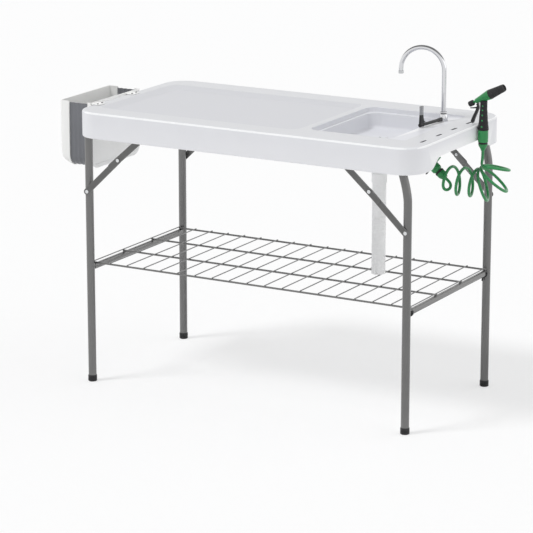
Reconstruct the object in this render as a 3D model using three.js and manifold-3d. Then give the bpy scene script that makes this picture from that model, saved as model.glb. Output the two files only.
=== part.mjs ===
// Fish cleaning table: a moulded top with a tray, a sink and knife slots, on two folding frames with a
// wire rack, with a faucet, a spray gun on a coil hose, a drain hose and a folding waste bin.
// Millimetres, +Z up, floor at z = 0. The front of the table faces -Y and the sink end is at +X.
import * as THREE from 'three';
import { mergeVertices } from 'three/addons/utils/BufferGeometryUtils.js';
import Module from 'manifold-3d';

const wasm = await Module();
wasm.setup();

// Clearances and cutting
const fitGap = 0.3; // between pieces that rest on each other
const turnGap = 0.4; // round a piece that turns
const cutRun = 20; // how far a cutting solid runs past the face it cuts
const roundSides = 16;
const smallSides = 12;
const rodSides = 8;
const wireSides = 6;

// Table top. An inset is measured in from the table's end or side, a drop down from its top
const table = { length: 1168, width: 610, height: 862, rim: 81, wall: 8, panel: 28.5 };
const tableEdge = { corner: 75, innerCorner: 55, round: 4 };
const tray = { depth: 10, radius: 22, toSink: 33 };
const trayInset = { left: 73, front: 117, back: 117 };
const traySlope = { left: 39, right: 10, front: 37, back: 37 };
const sinkLip = { length: 267, radius: 34 };
const sinkInset = { right: 144, front: 110, back: 97 };
const sink = { ledgeDepth: 15, ledge: 9, draft: 2, wallDraft: 8, floorDepth: 62, fall: 3, shell: 4 };
const ledge = { depth: 6, radius: 8 };
const ledgeInset = { right: 87, front: 105, back: 90 };
const knifeSlot = { length: 37, width: 6, endInset: 36, frontInset: 121, spacing: 103 };
const knifeSlots = 4;
const endArch = { top: 34, shoulderInset: 175, footInset: 90 };
const drain = { endInset: 284, offCentre: 26, hole: 23.5 };

// Folding frames
const leg = { radius: 12.5, wall: 1.2, endInset: 37.5, sideInset: 29.5, topRun: 2 };
const pivot = { drop: 44, rightInset: 30, bendDrop: 172 };
const footCap = { radius: 14, height: 20, floor: 3, edge: 1.5 };
const rail = { radius: 9.5, wall: 1.2, height: 366 };
const saddle = { length: 40, width: 30, sideInset: 50, below: 18 };
const brace = { width: 20, thickness: 2, standoff: 2, overlap: 44, rivet: 6, hub: 5 };
const braceFoot = { drop: 252 };
const braceKnee = { endInset: 154, drop: 141 };
const braceHead = { endInset: 259, drop: 49 };
const bracePlate = { length: 36, below: 16 };

// Wire rack
const rack = { rod: 3, wire: 1.75, bite: 0.3, seat: 0.5 };
const rackInset = { left: 35, right: 31, side: 49 };
const rackRodCount = 4;
const rackWireCount = 19;
const clip = { thickness: 3, width: 8, drop: 12, fromDegrees: 40, toDegrees: -100 };

// Faucet and tap
const faucet = { endInset: 125, backInset: 171, shank: 7, shankLength: 56 };
const faucetDome = { radius: 13.5, height: 25, neck: 7.5, collar: 10, collarHeight: 5 };
const spout = { radius: 7.15, reach: 68, rise: 127, drop: 6, turnDegrees: 8 };
const spoutTip = { radius: 8, bore: 5.7, height: 9 };
const spoutCounts = { arcSteps: 16, steps: 26, sides: 10 };
const faucetNut = { radius: 16, height: 11 };
const valve = { x: -15, y: -120, height: 8, startRadius: 6, endRadius: 4.5 };
const lever = { hub: 6, width: 17, thickness: 8, height: 31, gripWidth: 13.5, gripHeight: 26 };

// Drain
const strainer = { flange: 28.5, flangeHeight: 2, cup: 17, cupDepth: 12, knob: 3.5, knobHeight: 8 };
const drainNut = { sleeve: 22.5, bore: 18, radius: 34, height: 9, spigot: 9 };
const drainGasket = { radius: 33, height: 2.4 };
const drainHose = { radius: 21.5, valley: 19.8, bore: 18, lead: 5, overRack: 3 };
const drainHoseCounts = { ribs: 60, ribsPerBoreRing: 6, sides: 8 };
const hoseCuff = { radius: 23.5, top: 71, height: 28 };

// Spray gun, which stands in one upright plane just past the table's end
const gun = { endReach: 17, backInset: 193, rearInset: 9, rearRise: 70, tiltDegrees: 28.5 };
const barrel = { length: 51.2, rear: 7, joint: 15, tail: 7, tailRadius: 4 };
const nozzle = { length: 53, tip: 11, bore: 5, boreDepth: 14 };
const knob = { radius: 8.5, length: 17 };
const grip = { below: 14.7, above: 75, bottomRadius: 16.5, middleRadius: 13, topRadius: 11 };
const gunCollar = { radius: 15.3, height: 35.7 };
const gunRing = { radius: 14, height: 5.4 };
const gunCone = { radius: 14, end: 6.5, height: 20 };
const trigger = { station: 2, round: 3, width: 12, thickness: 3.6 };
const triggerBend = { kneeX: 2.4, kneeZ: -10.5, tipX: -17.5, tipZ: -57 };

// Inlet connector under the sink end
const elbowSteps = 12;
const inlet = { endInset: 138, backInset: 212, drop: 135, downDegrees: 39, bend: 40, tube: 8 };
const adaptor = { radius: 16, neck: 11, length: 26, taperStart: 18.2 };
const wing = { length: 74, width: 12, thickness: 3.5, radius: 4 };
const inletRing = { radius: 14.5, length: 6 };
const connector = { radius: 14, end: 9, length: 22 };

// Coil hose
const hose = { radius: 4.5, lead: 12, swing: 35, lift: 40 };
const coil = { radius: 41.5, swell: 11, inner: 17, pitch: 41.5, drop: 118.5, bearingDegrees: 5, rise: 12 };
const coilTurns = { start: 0.5, bend: 2.7, calm: 5.2, upright: 5.45, end: 5.5, stepsPerTurn: 24 };
const hoseCounts = { leadPoints: 7, gapSamples: 600, sides: 6 };

// Waste bin on the left end
const bin = { drop: 204, rise: 6, outer: 114, wall: 3, outerRadius: 48, cornerRadius: 38 };
const binInset = { front: 100, back: 225 };
const binFlange = { shell: 34, plate: 12, inset: 5 };
const binGusset = { wall: 1.6, inset: 4 };
const binHook = { width: 38, reach: 28, thickness: 3, frontInset: 25, backInset: 62 };

// Places worked out from the table's ends, sides and top
const halfLength = table.length / 2;
const halfWidth = table.width / 2;
const sinkRim = {
  left: halfLength - sinkInset.right - sinkLip.length,
  right: halfLength - sinkInset.right,
  front: sinkInset.front - halfWidth,
  back: halfWidth - sinkInset.back,
};
const trayFloor = {
  left: trayInset.left - halfLength,
  right: sinkRim.left - tray.toSink,
  front: trayInset.front - halfWidth,
  back: halfWidth - trayInset.back,
};
const ledgeOutline = {
  left: sinkRim.right - ledge.radius,
  right: halfLength - ledgeInset.right,
  front: ledgeInset.front - halfWidth,
  back: halfWidth - ledgeInset.back,
};
const slotX = halfLength - knifeSlot.endInset;
const firstSlotY = knifeSlot.frontInset - halfWidth;
const drainX = halfLength - drain.endInset;
const legX = halfLength - leg.endInset;
const legY = halfWidth - leg.sideInset;
const saddleOuter = halfWidth - saddle.sideInset;
const rackOuter = halfWidth - rackInset.side;
const faucetX = halfLength - faucet.endInset;
const faucetY = halfWidth - faucet.backInset;
const gunX = halfLength + gun.endReach;
const gunY = halfWidth - gun.backInset;
const gunRearX = halfLength - gun.rearInset;
const gunRearZ = table.height + gun.rearRise;
const gripBottom = table.height - grip.below;
const binFront = binInset.front - halfWidth;
const binBack = halfWidth - binInset.back;
const binBottom = table.height - bin.drop;
const binTop = table.height + bin.rise;

// Heights and faces worked out from the sizes above
const rimBottom = table.height - table.rim;
const underside = table.height - table.panel;
const pivotHeight = table.height - pivot.drop;
const legOuter = legY + leg.radius;
const legInner = legY - leg.radius;
const railTop = rail.height + rail.radius;
const rodHeight = railTop + rack.seat + rack.rod;
const ledgeTop = table.height - ledge.depth;
const sinkFloor = table.height - sink.floorDepth;
const drainFloor = sinkFloor - sink.fall;
const tubBottom = drainFloor - sink.shell;
const shankBottom = ledgeTop - faucet.shankLength;
const domeTop = ledgeTop + fitGap + faucetDome.height;
const armHeight = ledgeTop + valve.height;
const nutTop = tubBottom - fitGap - drainGasket.height - fitGap;
const drainOutlet = nutTop - drainNut.height - drainNut.spigot;
const wireTop = rodHeight + rack.rod + 2 * rack.wire - rack.bite;
const hoseBottom = wireTop + drainHose.overRack;
const hoseTop = drainOutlet - fitGap;

// Manifold solids from three.js geometry and back
function solidOf(geometry) {
  const bare = geometry.clone();
  bare.deleteAttribute('normal');
  bare.deleteAttribute('uv');
  const welded = mergeVertices(bare);
  const corners = welded.index.array;
  const kept = [];
  for (let i = 0; i < corners.length; i += 3) {
    const [a, b, c] = corners.slice(i, i + 3);
    if (a !== b && b !== c && c !== a) kept.push(a, b, c);
  }
  const vertProperties = new Float32Array(welded.attributes.position.array);
  return new wasm.Manifold(new wasm.Mesh({ numProp: 3, vertProperties, triVerts: new Uint32Array(kept) }));
}

function geometryOf(solid) {
  const mesh = solid.getMesh();
  const geometry = new THREE.BufferGeometry();
  geometry.setAttribute('position', new THREE.BufferAttribute(mesh.vertProperties, 3));
  geometry.setIndex(new THREE.BufferAttribute(mesh.triVerts, 1));
  return geometry;
}

function cut(body, ...tools) {
  return geometryOf(tools.reduce((solid, tool) => solid.subtract(solidOf(tool)), solidOf(body)));
}

const join = (...parts) => geometryOf(parts.map(solidOf).reduce((all, part) => all.add(part)));
const common = (one, other) => geometryOf(solidOf(one).intersect(solidOf(other)));

// Basic shapes
const xAxis = new THREE.Vector3(1, 0, 0);
const yAxis = new THREE.Vector3(0, 1, 0);
const zAxis = new THREE.Vector3(0, 0, 1);
const radians = THREE.MathUtils.degToRad;

function grown(box, by) {
  return { left: box.left - by, right: box.right + by, front: box.front - by, back: box.back + by };
}

function roundedShape({ left, right, front, back }, radius) {
  const shape = new THREE.Shape();
  shape.moveTo(left + radius, front);
  shape.absarc(right - radius, front + radius, radius, -Math.PI / 2, 0);
  shape.absarc(right - radius, back - radius, radius, 0, Math.PI / 2);
  shape.absarc(left + radius, back - radius, radius, Math.PI / 2, Math.PI);
  shape.absarc(left + radius, front + radius, radius, Math.PI, 1.5 * Math.PI);
  return shape;
}

function circleShape(radius, bore = 0) {
  const shape = new THREE.Shape().absarc(0, 0, radius, 0, 2 * Math.PI);
  if (bore > 0) shape.holes.push(new THREE.Path().absarc(0, 0, bore, 0, 2 * Math.PI, true));
  return shape;
}

function polygon(points) {
  return new THREE.Shape(points.map(([x, y]) => new THREE.Vector2(x, y)));
}

// A solid with upright walls between two heights, its edges drawn in by the bevel
function prism(shape, bottom, top, bevel = 0, curveSegments = 3) {
  const geometry = new THREE.ExtrudeGeometry(shape, {
    depth: top - bottom - 2 * bevel,
    curveSegments,
    bevelEnabled: bevel > 0,
    bevelThickness: bevel,
    bevelSize: bevel,
    bevelOffset: -bevel,
    bevelSegments: 2,
  });
  return geometry.translate(0, 0, bottom + bevel);
}

// A pocket whose walls run from a floor outline out to a rim outline, and on past the rim by a run
function drafted(floor, rim, radius, floorZ, rimZ, run = 0) {
  const reach = (rimZ - floorZ + run) / (rimZ - floorZ);
  const geometry = prism(roundedShape(floor, radius), floorZ, rimZ + run);
  const places = geometry.attributes.position;
  const high = {};
  for (const side of ['left', 'right', 'front', 'back']) {
    high[side] = floor[side] + (rim[side] - floor[side]) * reach;
  }
  const { mapLinear } = THREE.MathUtils;
  for (let i = 0; i < places.count; i += 1) {
    if (places.getZ(i) > (floorZ + rimZ) / 2) {
      places.setX(i, mapLinear(places.getX(i), floor.left, floor.right, high.left, high.right));
      places.setY(i, mapLinear(places.getY(i), floor.front, floor.back, high.front, high.back));
    }
  }
  return geometry;
}

// Turns a prism so that its outline lies in the YZ plane and its height runs along X
function alongX(geometry) {
  return geometry.applyMatrix4(new THREE.Matrix4().makeBasis(yAxis, zAxis, xAxis));
}

// Turns a prism so that its outline lies in the XZ plane and its height runs along -Y
function alongY(geometry) {
  return geometry.applyMatrix4(new THREE.Matrix4().makeBasis(xAxis, zAxis, yAxis.clone().negate()));
}

// A turned solid about Z from points of radius and height, lowest first
function turned(profile, sides = roundSides) {
  const points = profile.map(([radius, height]) => new THREE.Vector2(radius, height));
  return new THREE.LatheGeometry(points, sides).rotateX(Math.PI / 2);
}

function rod(radius, bottom, top, sides = roundSides) {
  return turned([[0, bottom], [radius, bottom], [radius, top], [0, top]], sides);
}

function pipe(curve, radius, bore, steps, sides = roundSides) {
  const curveSegments = sides / 2;
  return new THREE.ExtrudeGeometry(circleShape(radius, bore), { extrudePath: curve, steps, curveSegments });
}

// The model
const model = new THREE.Group();
const standing = new THREE.Group();
model.add(standing);

function look(color, roughness, metalness = 0) {
  return () => new THREE.MeshStandardMaterial({ color, roughness, metalness });
}

const looks = {
  top: look('#dfe0e4', 0.45),
  frame: look('#6c6c6d', 0.4, 0.5),
  green: look('#3c9a57', 0.4),
  black: look('#1c1c1d', 0.45),
  white: look('#efefed', 0.5),
  dark: look('#77787b', 0.7),
  hose: look('#e2e2de', 0.5),
  chrome: look('#d9dcdf', 0.12, 1),
  yellow: look('#e0b62c', 0.45),
  clear: look('#b9bdc0', 0.2),
  steel: look('#c9ccce', 0.25, 0.9),
};

function add(name, geometry, material, place = [0, 0, 0]) {
  const mesh = new THREE.Mesh(geometry, material());
  mesh.name = name;
  mesh.position.set(...place);
  standing.add(mesh);
  return mesh;
}

// Points a mesh whose own axis is Z along a direction
function aim(mesh, direction) {
  mesh.quaternion.setFromUnitVectors(zAxis, direction);
  return mesh;
}

// Table top
function sinkOutlines() {
  const ledgeOuter = grown(sinkRim, -sink.draft);
  const ledgeInner = grown(ledgeOuter, -sink.ledge);
  return { ledgeOuter, ledgeInner, floor: grown(ledgeInner, -sink.wallDraft) };
}

function sinkHollow() {
  const { ledgeOuter, ledgeInner, floor } = sinkOutlines();
  const ledgeZ = table.height - sink.ledgeDepth;
  const upper = drafted(ledgeOuter, sinkRim, sinkLip.radius, ledgeZ, table.height, cutRun);
  const lower = drafted(floor, ledgeInner, sinkLip.radius, sinkFloor, ledgeZ, sink.draft);
  const low = { left: drainX, right: drainX, front: drain.offCentre, back: drain.offCentre };
  const funnel = drafted(grown(low, drain.hole), floor, drain.hole - fitGap, drainFloor, sinkFloor);
  return join(upper, lower, funnel);
}

function sinkTub() {
  const { ledgeInner, floor } = sinkOutlines();
  const ledgeZ = table.height - sink.ledgeDepth;
  return drafted(grown(floor, sink.shell), grown(ledgeInner, sink.shell), sinkLip.radius, tubBottom, ledgeZ);
}

function archCut(side) {
  const { top, shoulderInset, footInset } = endArch;
  const shoulder = halfWidth - shoulderInset;
  const foot = halfWidth - footInset;
  const swing = (foot - shoulder) / 2;
  const archTop = rimBottom + top;
  const shape = new THREE.Shape();
  shape.moveTo(-foot, rimBottom - cutRun);
  shape.lineTo(-foot, rimBottom);
  shape.bezierCurveTo(-foot + swing, rimBottom, -shoulder - swing, archTop, -shoulder, archTop);
  shape.lineTo(shoulder, archTop);
  shape.bezierCurveTo(shoulder + swing, archTop, foot - swing, rimBottom, foot, rimBottom);
  shape.lineTo(foot, rimBottom - cutRun);
  const inner = halfLength - table.wall - cutRun;
  const run = table.wall + 2 * cutRun;
  return alongX(prism(shape, 0, run)).translate(side > 0 ? inner : -inner - run, 0, 0);
}

function tableTop() {
  const outline = { left: -halfLength, right: halfLength, front: -halfWidth, back: halfWidth };
  const slab = prism(roundedShape(outline, tableEdge.corner), rimBottom, table.height, tableEdge.round, 5);
  const hollowShape = roundedShape(grown(outline, -table.wall), tableEdge.innerCorner);
  const cavity = cut(prism(hollowShape, rimBottom - cutRun, underside, 0, 5), sinkTub());
  const trayRim = {
    left: trayFloor.left - traySlope.left,
    right: trayFloor.right + traySlope.right,
    front: trayFloor.front - traySlope.front,
    back: trayFloor.back + traySlope.back,
  };
  const trayBottom = table.height - tray.depth;
  const trayHollow = drafted(trayFloor, trayRim, tray.radius, trayBottom, table.height, cutRun);
  const ledgeHollow = prism(roundedShape(ledgeOutline, ledge.radius), ledgeTop, table.height + cutRun);
  const drainHole = rod(drain.hole, tubBottom - cutRun, sinkFloor + cutRun);
  drainHole.translate(drainX, drain.offCentre, 0);
  const shankHole = rod(faucet.shank + turnGap, underside - cutRun, table.height);
  shankHole.translate(faucetX, faucetY, 0);
  const slots = Array.from({ length: knifeSlots }, (_, i) => {
    const y = firstSlotY + i * knifeSlot.spacing;
    const centre = { left: slotX, right: slotX, front: y, back: y };
    const slot = grown(centre, knifeSlot.width / 2);
    slot.front -= (knifeSlot.length - knifeSlot.width) / 2;
    slot.back += (knifeSlot.length - knifeSlot.width) / 2;
    const slotShape = roundedShape(slot, knifeSlot.width / 2 - fitGap);
    return prism(slotShape, underside - cutRun, table.height + cutRun, 0, 1);
  });
  const hollows = [cavity, trayHollow, sinkHollow(), ledgeHollow];
  return cut(slab, ...hollows, drainHole, shankHole, ...slots, archCut(-1), archCut(1));
}

add('table_top', tableTop(), looks.top);

// Frames: the legs, the pivot bar that they hang on, the rail that carries the rack and the foot caps
function legPath(right) {
  const foot = footCap.floor + fitGap;
  const top = pivotHeight + leg.topRun;
  if (!right) return new THREE.LineCurve3(new THREE.Vector3(0, 0, foot), new THREE.Vector3(0, 0, top));
  const bendStart = table.height - pivot.bendDrop;
  const rise = pivotHeight - bendStart;
  const bendShares = [[0, 0], [0.03, 0.15], [0.22, 0.4], [0.6, 0.72], [1, 1]];
  const straight = [foot, bendStart / 2, bendStart - rise / 2].map((z) => new THREE.Vector3(0, 0, z));
  const bend = bendShares.map(([x, z]) => new THREE.Vector3(-x * pivot.rightInset, 0, bendStart + z * rise));
  return new THREE.CatmullRomCurve3([...straight, ...bend, new THREE.Vector3(-pivot.rightInset, 0, top)]);
}

function footCapGeometry() {
  const { radius, height, floor, edge } = footCap;
  const bore = leg.radius + fitGap;
  const outside = [[0, 0], [radius - edge, 0], [radius, edge], [radius, height]];
  return turned([...outside, [bore, height], [bore, floor], [0, floor]], roundSides);
}

const ends = [
  { name: 'left', side: -1, pivotX: -legX },
  { name: 'right', side: 1, pivotX: legX - pivot.rightInset },
];
const faces = [
  { name: 'front', out: -1 },
  { name: 'rear', out: 1 },
];

function crossTube(radius, wall, x, z) {
  const reach = legInner - fitGap;
  const path = new THREE.LineCurve3(new THREE.Vector3(x, -reach, z), new THREE.Vector3(x, reach, z));
  return pipe(path, radius, radius - wall, 1);
}

for (const end of ends) {
  const legSteps = end.side > 0 ? 10 : 1;
  for (const face of faces) {
    const place = [end.side * legX, face.out * legY, 0];
    const tube = pipe(legPath(end.side > 0), leg.radius, leg.radius - leg.wall, legSteps, smallSides);
    add(`${end.name}_leg_${face.name}`, tube, looks.frame, place);
    add(`${end.name}_foot_cap_${face.name}`, footCapGeometry(), looks.black, place);
  }
  add(`${end.name}_pivot_bar`, crossTube(leg.radius, leg.wall, end.pivotX, pivotHeight), looks.frame);
  add(`${end.name}_shelf_rail`, crossTube(rail.radius, rail.wall, end.side * legX, rail.height), looks.frame);
}

// Saddles that hold the pivot bars under the panel
function saddleGeometry() {
  const half = saddle.length / 2;
  const low = pivotHeight - saddle.below;
  const high = underside - fitGap;
  const block = polygon([[-half, low], [half, low], [half, high], [-half, high]]);
  block.holes.push(new THREE.Path().absarc(0, pivotHeight, leg.radius + turnGap, 0, 2 * Math.PI, true));
  return alongY(prism(block, 0, saddle.width, 0, roundSides / 2));
}

for (const end of ends) {
  for (const face of faces) {
    const y = face.out > 0 ? saddleOuter : -saddleOuter + saddle.width;
    add(`${end.name}_pivot_bracket_${face.name}`, saddleGeometry(), looks.black, [end.pivotX, y, 0]);
  }
}

// Braces: each has a lower link on the leg, an upper link on a plate on the rim, one layer after another
function layer(number) {
  return legOuter + brace.standoff + number * (brace.thickness + fitGap);
}

function slab(shape, out, from, to, curveSegments = 3) {
  const geometry = alongY(prism(shape, 0, to - from, 0, curveSegments));
  return geometry.translate(0, out > 0 ? to : -from, 0);
}

function disc(radius, x, out, from, to) {
  return slab(circleShape(radius), out, from, to, smallSides / 2).translate(x, 0, 0);
}

// A flat link along +X from its first rivet, with round ends; the far end may run on past the second one
function link(length, run, out, number) {
  const half = brace.width / 2;
  const outline = { left: -half, right: length + run + half, front: -half, back: half };
  const shape = roundedShape(outline, half - fitGap);
  return slab(shape, out, layer(number), layer(number) + brace.thickness);
}

function bracePlateGeometry(out) {
  const half = bracePlate.length / 2;
  const low = -bracePlate.below;
  const high = braceHead.drop - table.panel - fitGap;
  const shape = polygon([[-half, low], [half, low], [half, high], [-half, high]]);
  shape.holes.push(new THREE.Path().absarc(0, 0, brace.hub + turnGap, 0, 2 * Math.PI, true));
  return slab(shape, out, layer(2), layer(2) + brace.thickness, smallSides / 2);
}

for (const end of ends) {
  const foot = new THREE.Vector2(end.side * legX, table.height - braceFoot.drop);
  const knee = new THREE.Vector2(end.side * (halfLength - braceKnee.endInset), table.height - braceKnee.drop);
  const head = new THREE.Vector2(end.side * (halfLength - braceHead.endInset), table.height - braceHead.drop);
  const lowerRun = knee.clone().sub(foot);
  const upperRun = knee.clone().sub(head);
  for (const face of faces) {
    const lowerFace = layer(0) + brace.thickness;
    const lowerRivet = disc(brace.rivet, 0, face.out, legOuter + fitGap, lowerFace);
    const kneeRivet = disc(brace.rivet, lowerRun.length(), face.out, legOuter + fitGap, lowerFace);
    const lower = join(link(lowerRun.length(), 0, face.out, 0), lowerRivet, kneeRivet);
    const lowerMesh = add(`${end.name}_brace_lower_${face.name}`, lower, looks.frame, [foot.x, 0, foot.y]);
    lowerMesh.rotation.y = -lowerRun.angle();
    const hub = disc(brace.hub, 0, face.out, layer(1), layer(2) + brace.thickness);
    const kneeHead = disc(brace.rivet, upperRun.length(), face.out, layer(1), layer(2) + brace.thickness);
    const upper = join(link(upperRun.length(), brace.overlap - brace.width / 2, face.out, 1), hub, kneeHead);
    const upperMesh = add(`${end.name}_brace_upper_${face.name}`, upper, looks.frame, [head.x, 0, head.y]);
    upperMesh.rotation.y = -upperRun.angle();
    const plate = bracePlateGeometry(face.out);
    add(`${end.name}_brace_plate_${face.name}`, plate, looks.black, [head.x, 0, head.y]);
  }
}

// Wire rack: four long rods, an end bar at each end and cross wires on top
function rackGeometry() {
  const rackLeft = rackInset.left - halfLength;
  const length = table.length - rackInset.left - rackInset.right;
  const rods = [];
  for (let i = 0; i < rackRodCount; i += 1) {
    const y = -rackOuter + (i * 2 * rackOuter) / (rackRodCount - 1);
    rods.push(alongX(rod(rack.rod, 0, length, rodSides)).translate(rackLeft, y, rodHeight));
  }
  const wires = [];
  const wireZ = rodHeight + rack.rod + rack.wire - rack.bite;
  const span = 2 * (rackOuter + rack.rod);
  for (let i = 0; i < rackWireCount; i += 1) {
    const x = rackLeft + rack.rod + (i * (length - 2 * rack.rod)) / (rackWireCount - 1);
    wires.push(alongY(rod(rack.wire, 0, span, wireSides)).translate(x, span / 2, wireZ));
  }
  return join(...rods, ...wires);
}

add('wire_rack', rackGeometry(), looks.frame);

// Hook clips that hang on the outer side of the right rail, below the rack's rods
function clipGeometry() {
  const inner = rail.radius + fitGap;
  const outer = inner + clip.thickness;
  const from = radians(clip.fromDegrees);
  const to = radians(clip.toDegrees);
  const shape = new THREE.Shape();
  shape.absarc(0, 0, outer, from, to, true);
  shape.absarc(0, 0, inner, to, from, false);
  const hooked = prism(shape, 0, clip.width, 0, 4);
  const tail = { left: outer - clip.thickness, right: outer, front: -outer - clip.drop, back: 0 };
  return alongY(join(hooked, prism(roundedShape(tail, clip.thickness / 4), 0, clip.width)));
}

for (const face of faces) {
  const y = face.out * rackOuter + clip.width / 2;
  add(`rack_clip_${face.name}`, clipGeometry(), looks.black, [legX, y, rail.height]);
}

// Faucet base with its shank, and the nut under the panel
function faucetBase() {
  const { shank } = faucet;
  const { radius, height, neck } = faucetDome;
  const seat = ledgeTop + fitGap;
  const domeShares = [[1, 0.2], [0.93, 0.5], [0.8, 0.75], [0.6, 0.9]];
  const domePoints = domeShares.map(([r, h]) => [radius * r, seat + height * h]);
  const profile = [[0, shankBottom], [shank, shankBottom], [shank, seat], [radius, seat], ...domePoints];
  return turned([...profile, [neck, domeTop], [0, domeTop]], roundSides);
}

const faucetPlace = [faucetX, faucetY, 0];
add('faucet_base', faucetBase(), looks.chrome, faucetPlace);

function nutGeometry(radius, bore, bottom, top) {
  return turned([[bore, bottom], [radius, bottom], [radius, top], [bore, top], [bore, bottom]], 6);
}

const faucetNutTop = underside - fitGap;
const nutBore = (faucet.shank + fitGap) / Math.cos(Math.PI / 6);
const nutSolid = nutGeometry(faucetNut.radius, nutBore, faucetNutTop - faucetNut.height, faucetNutTop);
add('faucet_nut', nutSolid, looks.yellow, faucetPlace);

// Gooseneck spout that swivels on the base, with its outlet tip
const spoutTurn = radians(spout.turnDegrees);
const spoutWay = new THREE.Vector3(-Math.cos(spoutTurn), -Math.sin(spoutTurn), 0);
const spoutFoot = domeTop + fitGap;
const arcHeight = spoutFoot + spout.rise;

function spoutPath() {
  const points = [
    new THREE.Vector3(0, 0, spoutFoot + faucetDome.collarHeight / 2),
    new THREE.Vector3(0, 0, (spoutFoot + arcHeight) / 2),
  ];
  const { arcSteps } = spoutCounts;
  for (let i = 0; i <= arcSteps; i += 1) {
    const angle = (i / arcSteps) * Math.PI;
    const out = spout.reach * (1 - Math.cos(angle));
    points.push(spoutWay.clone().multiplyScalar(out).setZ(arcHeight + spout.reach * Math.sin(angle)));
  }
  points.push(spoutWay.clone().multiplyScalar(2 * spout.reach).setZ(arcHeight - spout.drop));
  return new THREE.CatmullRomCurve3(points);
}

const swivelCollar = rod(faucetDome.collar, spoutFoot, spoutFoot + faucetDome.collarHeight, smallSides);
const spoutTube = pipe(spoutPath(), spout.radius, 0, spoutCounts.steps, spoutCounts.sides);
add('faucet_spout', join(spoutTube, swivelCollar), looks.chrome, faucetPlace);

const tipTop = arcHeight - spout.drop - fitGap;
const tipGeometry = turned([
  [0, tipTop - spoutTip.height / 2],
  [spoutTip.bore, tipTop - spoutTip.height / 2],
  [spoutTip.bore, tipTop - spoutTip.height],
  [spoutTip.radius, tipTop - spoutTip.height],
  [spoutTip.radius, tipTop],
  [0, tipTop],
], smallSides);
const tipWay = spoutWay.clone().multiplyScalar(2 * spout.reach);
add('spout_aerator', tipGeometry, looks.steel, [faucetX + tipWay.x, faucetY + tipWay.y, 0]);

// Valve arm from the base, and the lever that turns about it
const armWay = new THREE.Vector3(valve.x, valve.y, 0).normalize();
const armEnd = Math.hypot(valve.x, valve.y) - lever.width / 2 - fitGap;
const armBase = [faucetX, faucetY, armHeight];
const armStart = faucetDome.radius + fitGap;
const armProfile = [[0, armStart], [valve.startRadius, armStart], [valve.endRadius, armEnd], [0, armEnd]];
aim(add('valve_arm', turned(armProfile, smallSides), looks.black, armBase), armWay);

const leverPlace = [faucetX + valve.x, faucetY + valve.y, armHeight];
const leverHub = rod(lever.hub, -lever.width / 2, lever.width / 2, smallSides);
const leverBlade = new THREE.BoxGeometry(lever.thickness, lever.height, lever.width);
leverBlade.translate(0, lever.height / 2, 0);
const gripBlade = new THREE.BoxGeometry(lever.thickness, lever.gripHeight, lever.gripWidth);
gripBlade.translate(0, lever.height + fitGap + lever.gripHeight / 2, 0);

// The lever's own frame: Z along the arm, Y up
function leverFrame(mesh) {
  const sideways = new THREE.Vector3().crossVectors(zAxis, armWay);
  mesh.quaternion.setFromRotationMatrix(new THREE.Matrix4().makeBasis(sideways, zAxis, armWay));
}

leverFrame(add('tap_lever', join(leverHub, leverBlade), looks.black, leverPlace));
leverFrame(add('lever_grip', gripBlade, looks.clear, leverPlace));

// Drain: strainer, gasket, nut and hose
const drainPlace = [drainX, drain.offCentre, 0];
const flangeSeat = drainFloor + fitGap;
const flangeTop = flangeSeat + strainer.flangeHeight;
add('drain_strainer', turned([
  [0, flangeSeat - strainer.cupDepth],
  [strainer.cup, flangeSeat - strainer.cupDepth],
  [strainer.cup, flangeSeat],
  [strainer.flange, flangeSeat],
  [strainer.flange, flangeTop],
  [strainer.knob, flangeTop],
  [strainer.knob, flangeTop + strainer.knobHeight],
  [0, flangeTop + strainer.knobHeight],
]), looks.steel, drainPlace);

const gasketTop = tubBottom - fitGap;
const gasketBore = drainNut.sleeve + fitGap;
add('drain_gasket', turned([
  [gasketBore, gasketTop - drainGasket.height],
  [drainGasket.radius, gasketTop - drainGasket.height],
  [drainGasket.radius, gasketTop],
  [gasketBore, gasketTop],
  [gasketBore, gasketTop - drainGasket.height],
]), looks.black, drainPlace);

add('drain_nut', turned([
  [drainNut.bore, drainOutlet],
  [drainHose.radius, drainOutlet],
  [drainHose.radius, nutTop - drainNut.height],
  [drainNut.radius, nutTop - drainNut.height],
  [drainNut.radius, nutTop],
  [drainNut.sleeve, nutTop],
  [drainNut.sleeve, drainFloor],
  [drainNut.bore, drainFloor],
  [drainNut.bore, drainOutlet],
]), looks.white, drainPlace);

// The ribbed drain hose: an outer wave of ribs, a plain cuff and a bore
function drainHoseGeometry() {
  const { radius, valley, bore, lead } = drainHose;
  const { ribs, ribsPerBoreRing, sides } = drainHoseCounts;
  const cuffTop = hoseTop - hoseCuff.top;
  const cuffBottom = cuffTop - hoseCuff.height;
  const pitch = (hoseTop - hoseBottom - 2 * lead - hoseCuff.height) / ribs;
  const outer = [[bore, hoseBottom], [radius, hoseBottom], [radius, hoseBottom + lead]];
  const boreHeights = [];
  let height = hoseBottom + lead;
  let cuffDone = false;
  for (let i = 0; i < ribs; i += 1) {
    if (!cuffDone && height + pitch > cuffBottom) {
      outer.push([hoseCuff.radius, height], [hoseCuff.radius, height + hoseCuff.height]);
      height += hoseCuff.height;
      cuffDone = true;
    }
    outer.push([valley, height + pitch / 4], [radius, height + (3 * pitch) / 4]);
    if (i % ribsPerBoreRing === 0) boreHeights.push(height);
    height += pitch;
  }
  outer.push([radius, hoseTop]);
  const inner = boreHeights.reverse().map((z) => [bore, z]);
  return turned([...outer, [bore, hoseTop], ...inner, [bore, hoseBottom]], sides);
}

add('drain_hose', drainHoseGeometry(), looks.hose, drainPlace);

// Spray gun: the barrel leans back over the rim and the handle hangs outside it
const tilt = radians(gun.tiltDegrees);
const barrelWay = new THREE.Vector3(Math.cos(tilt), 0, Math.sin(tilt));
const barrelPlace = [gunRearX, gunY, gunRearZ];

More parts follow.
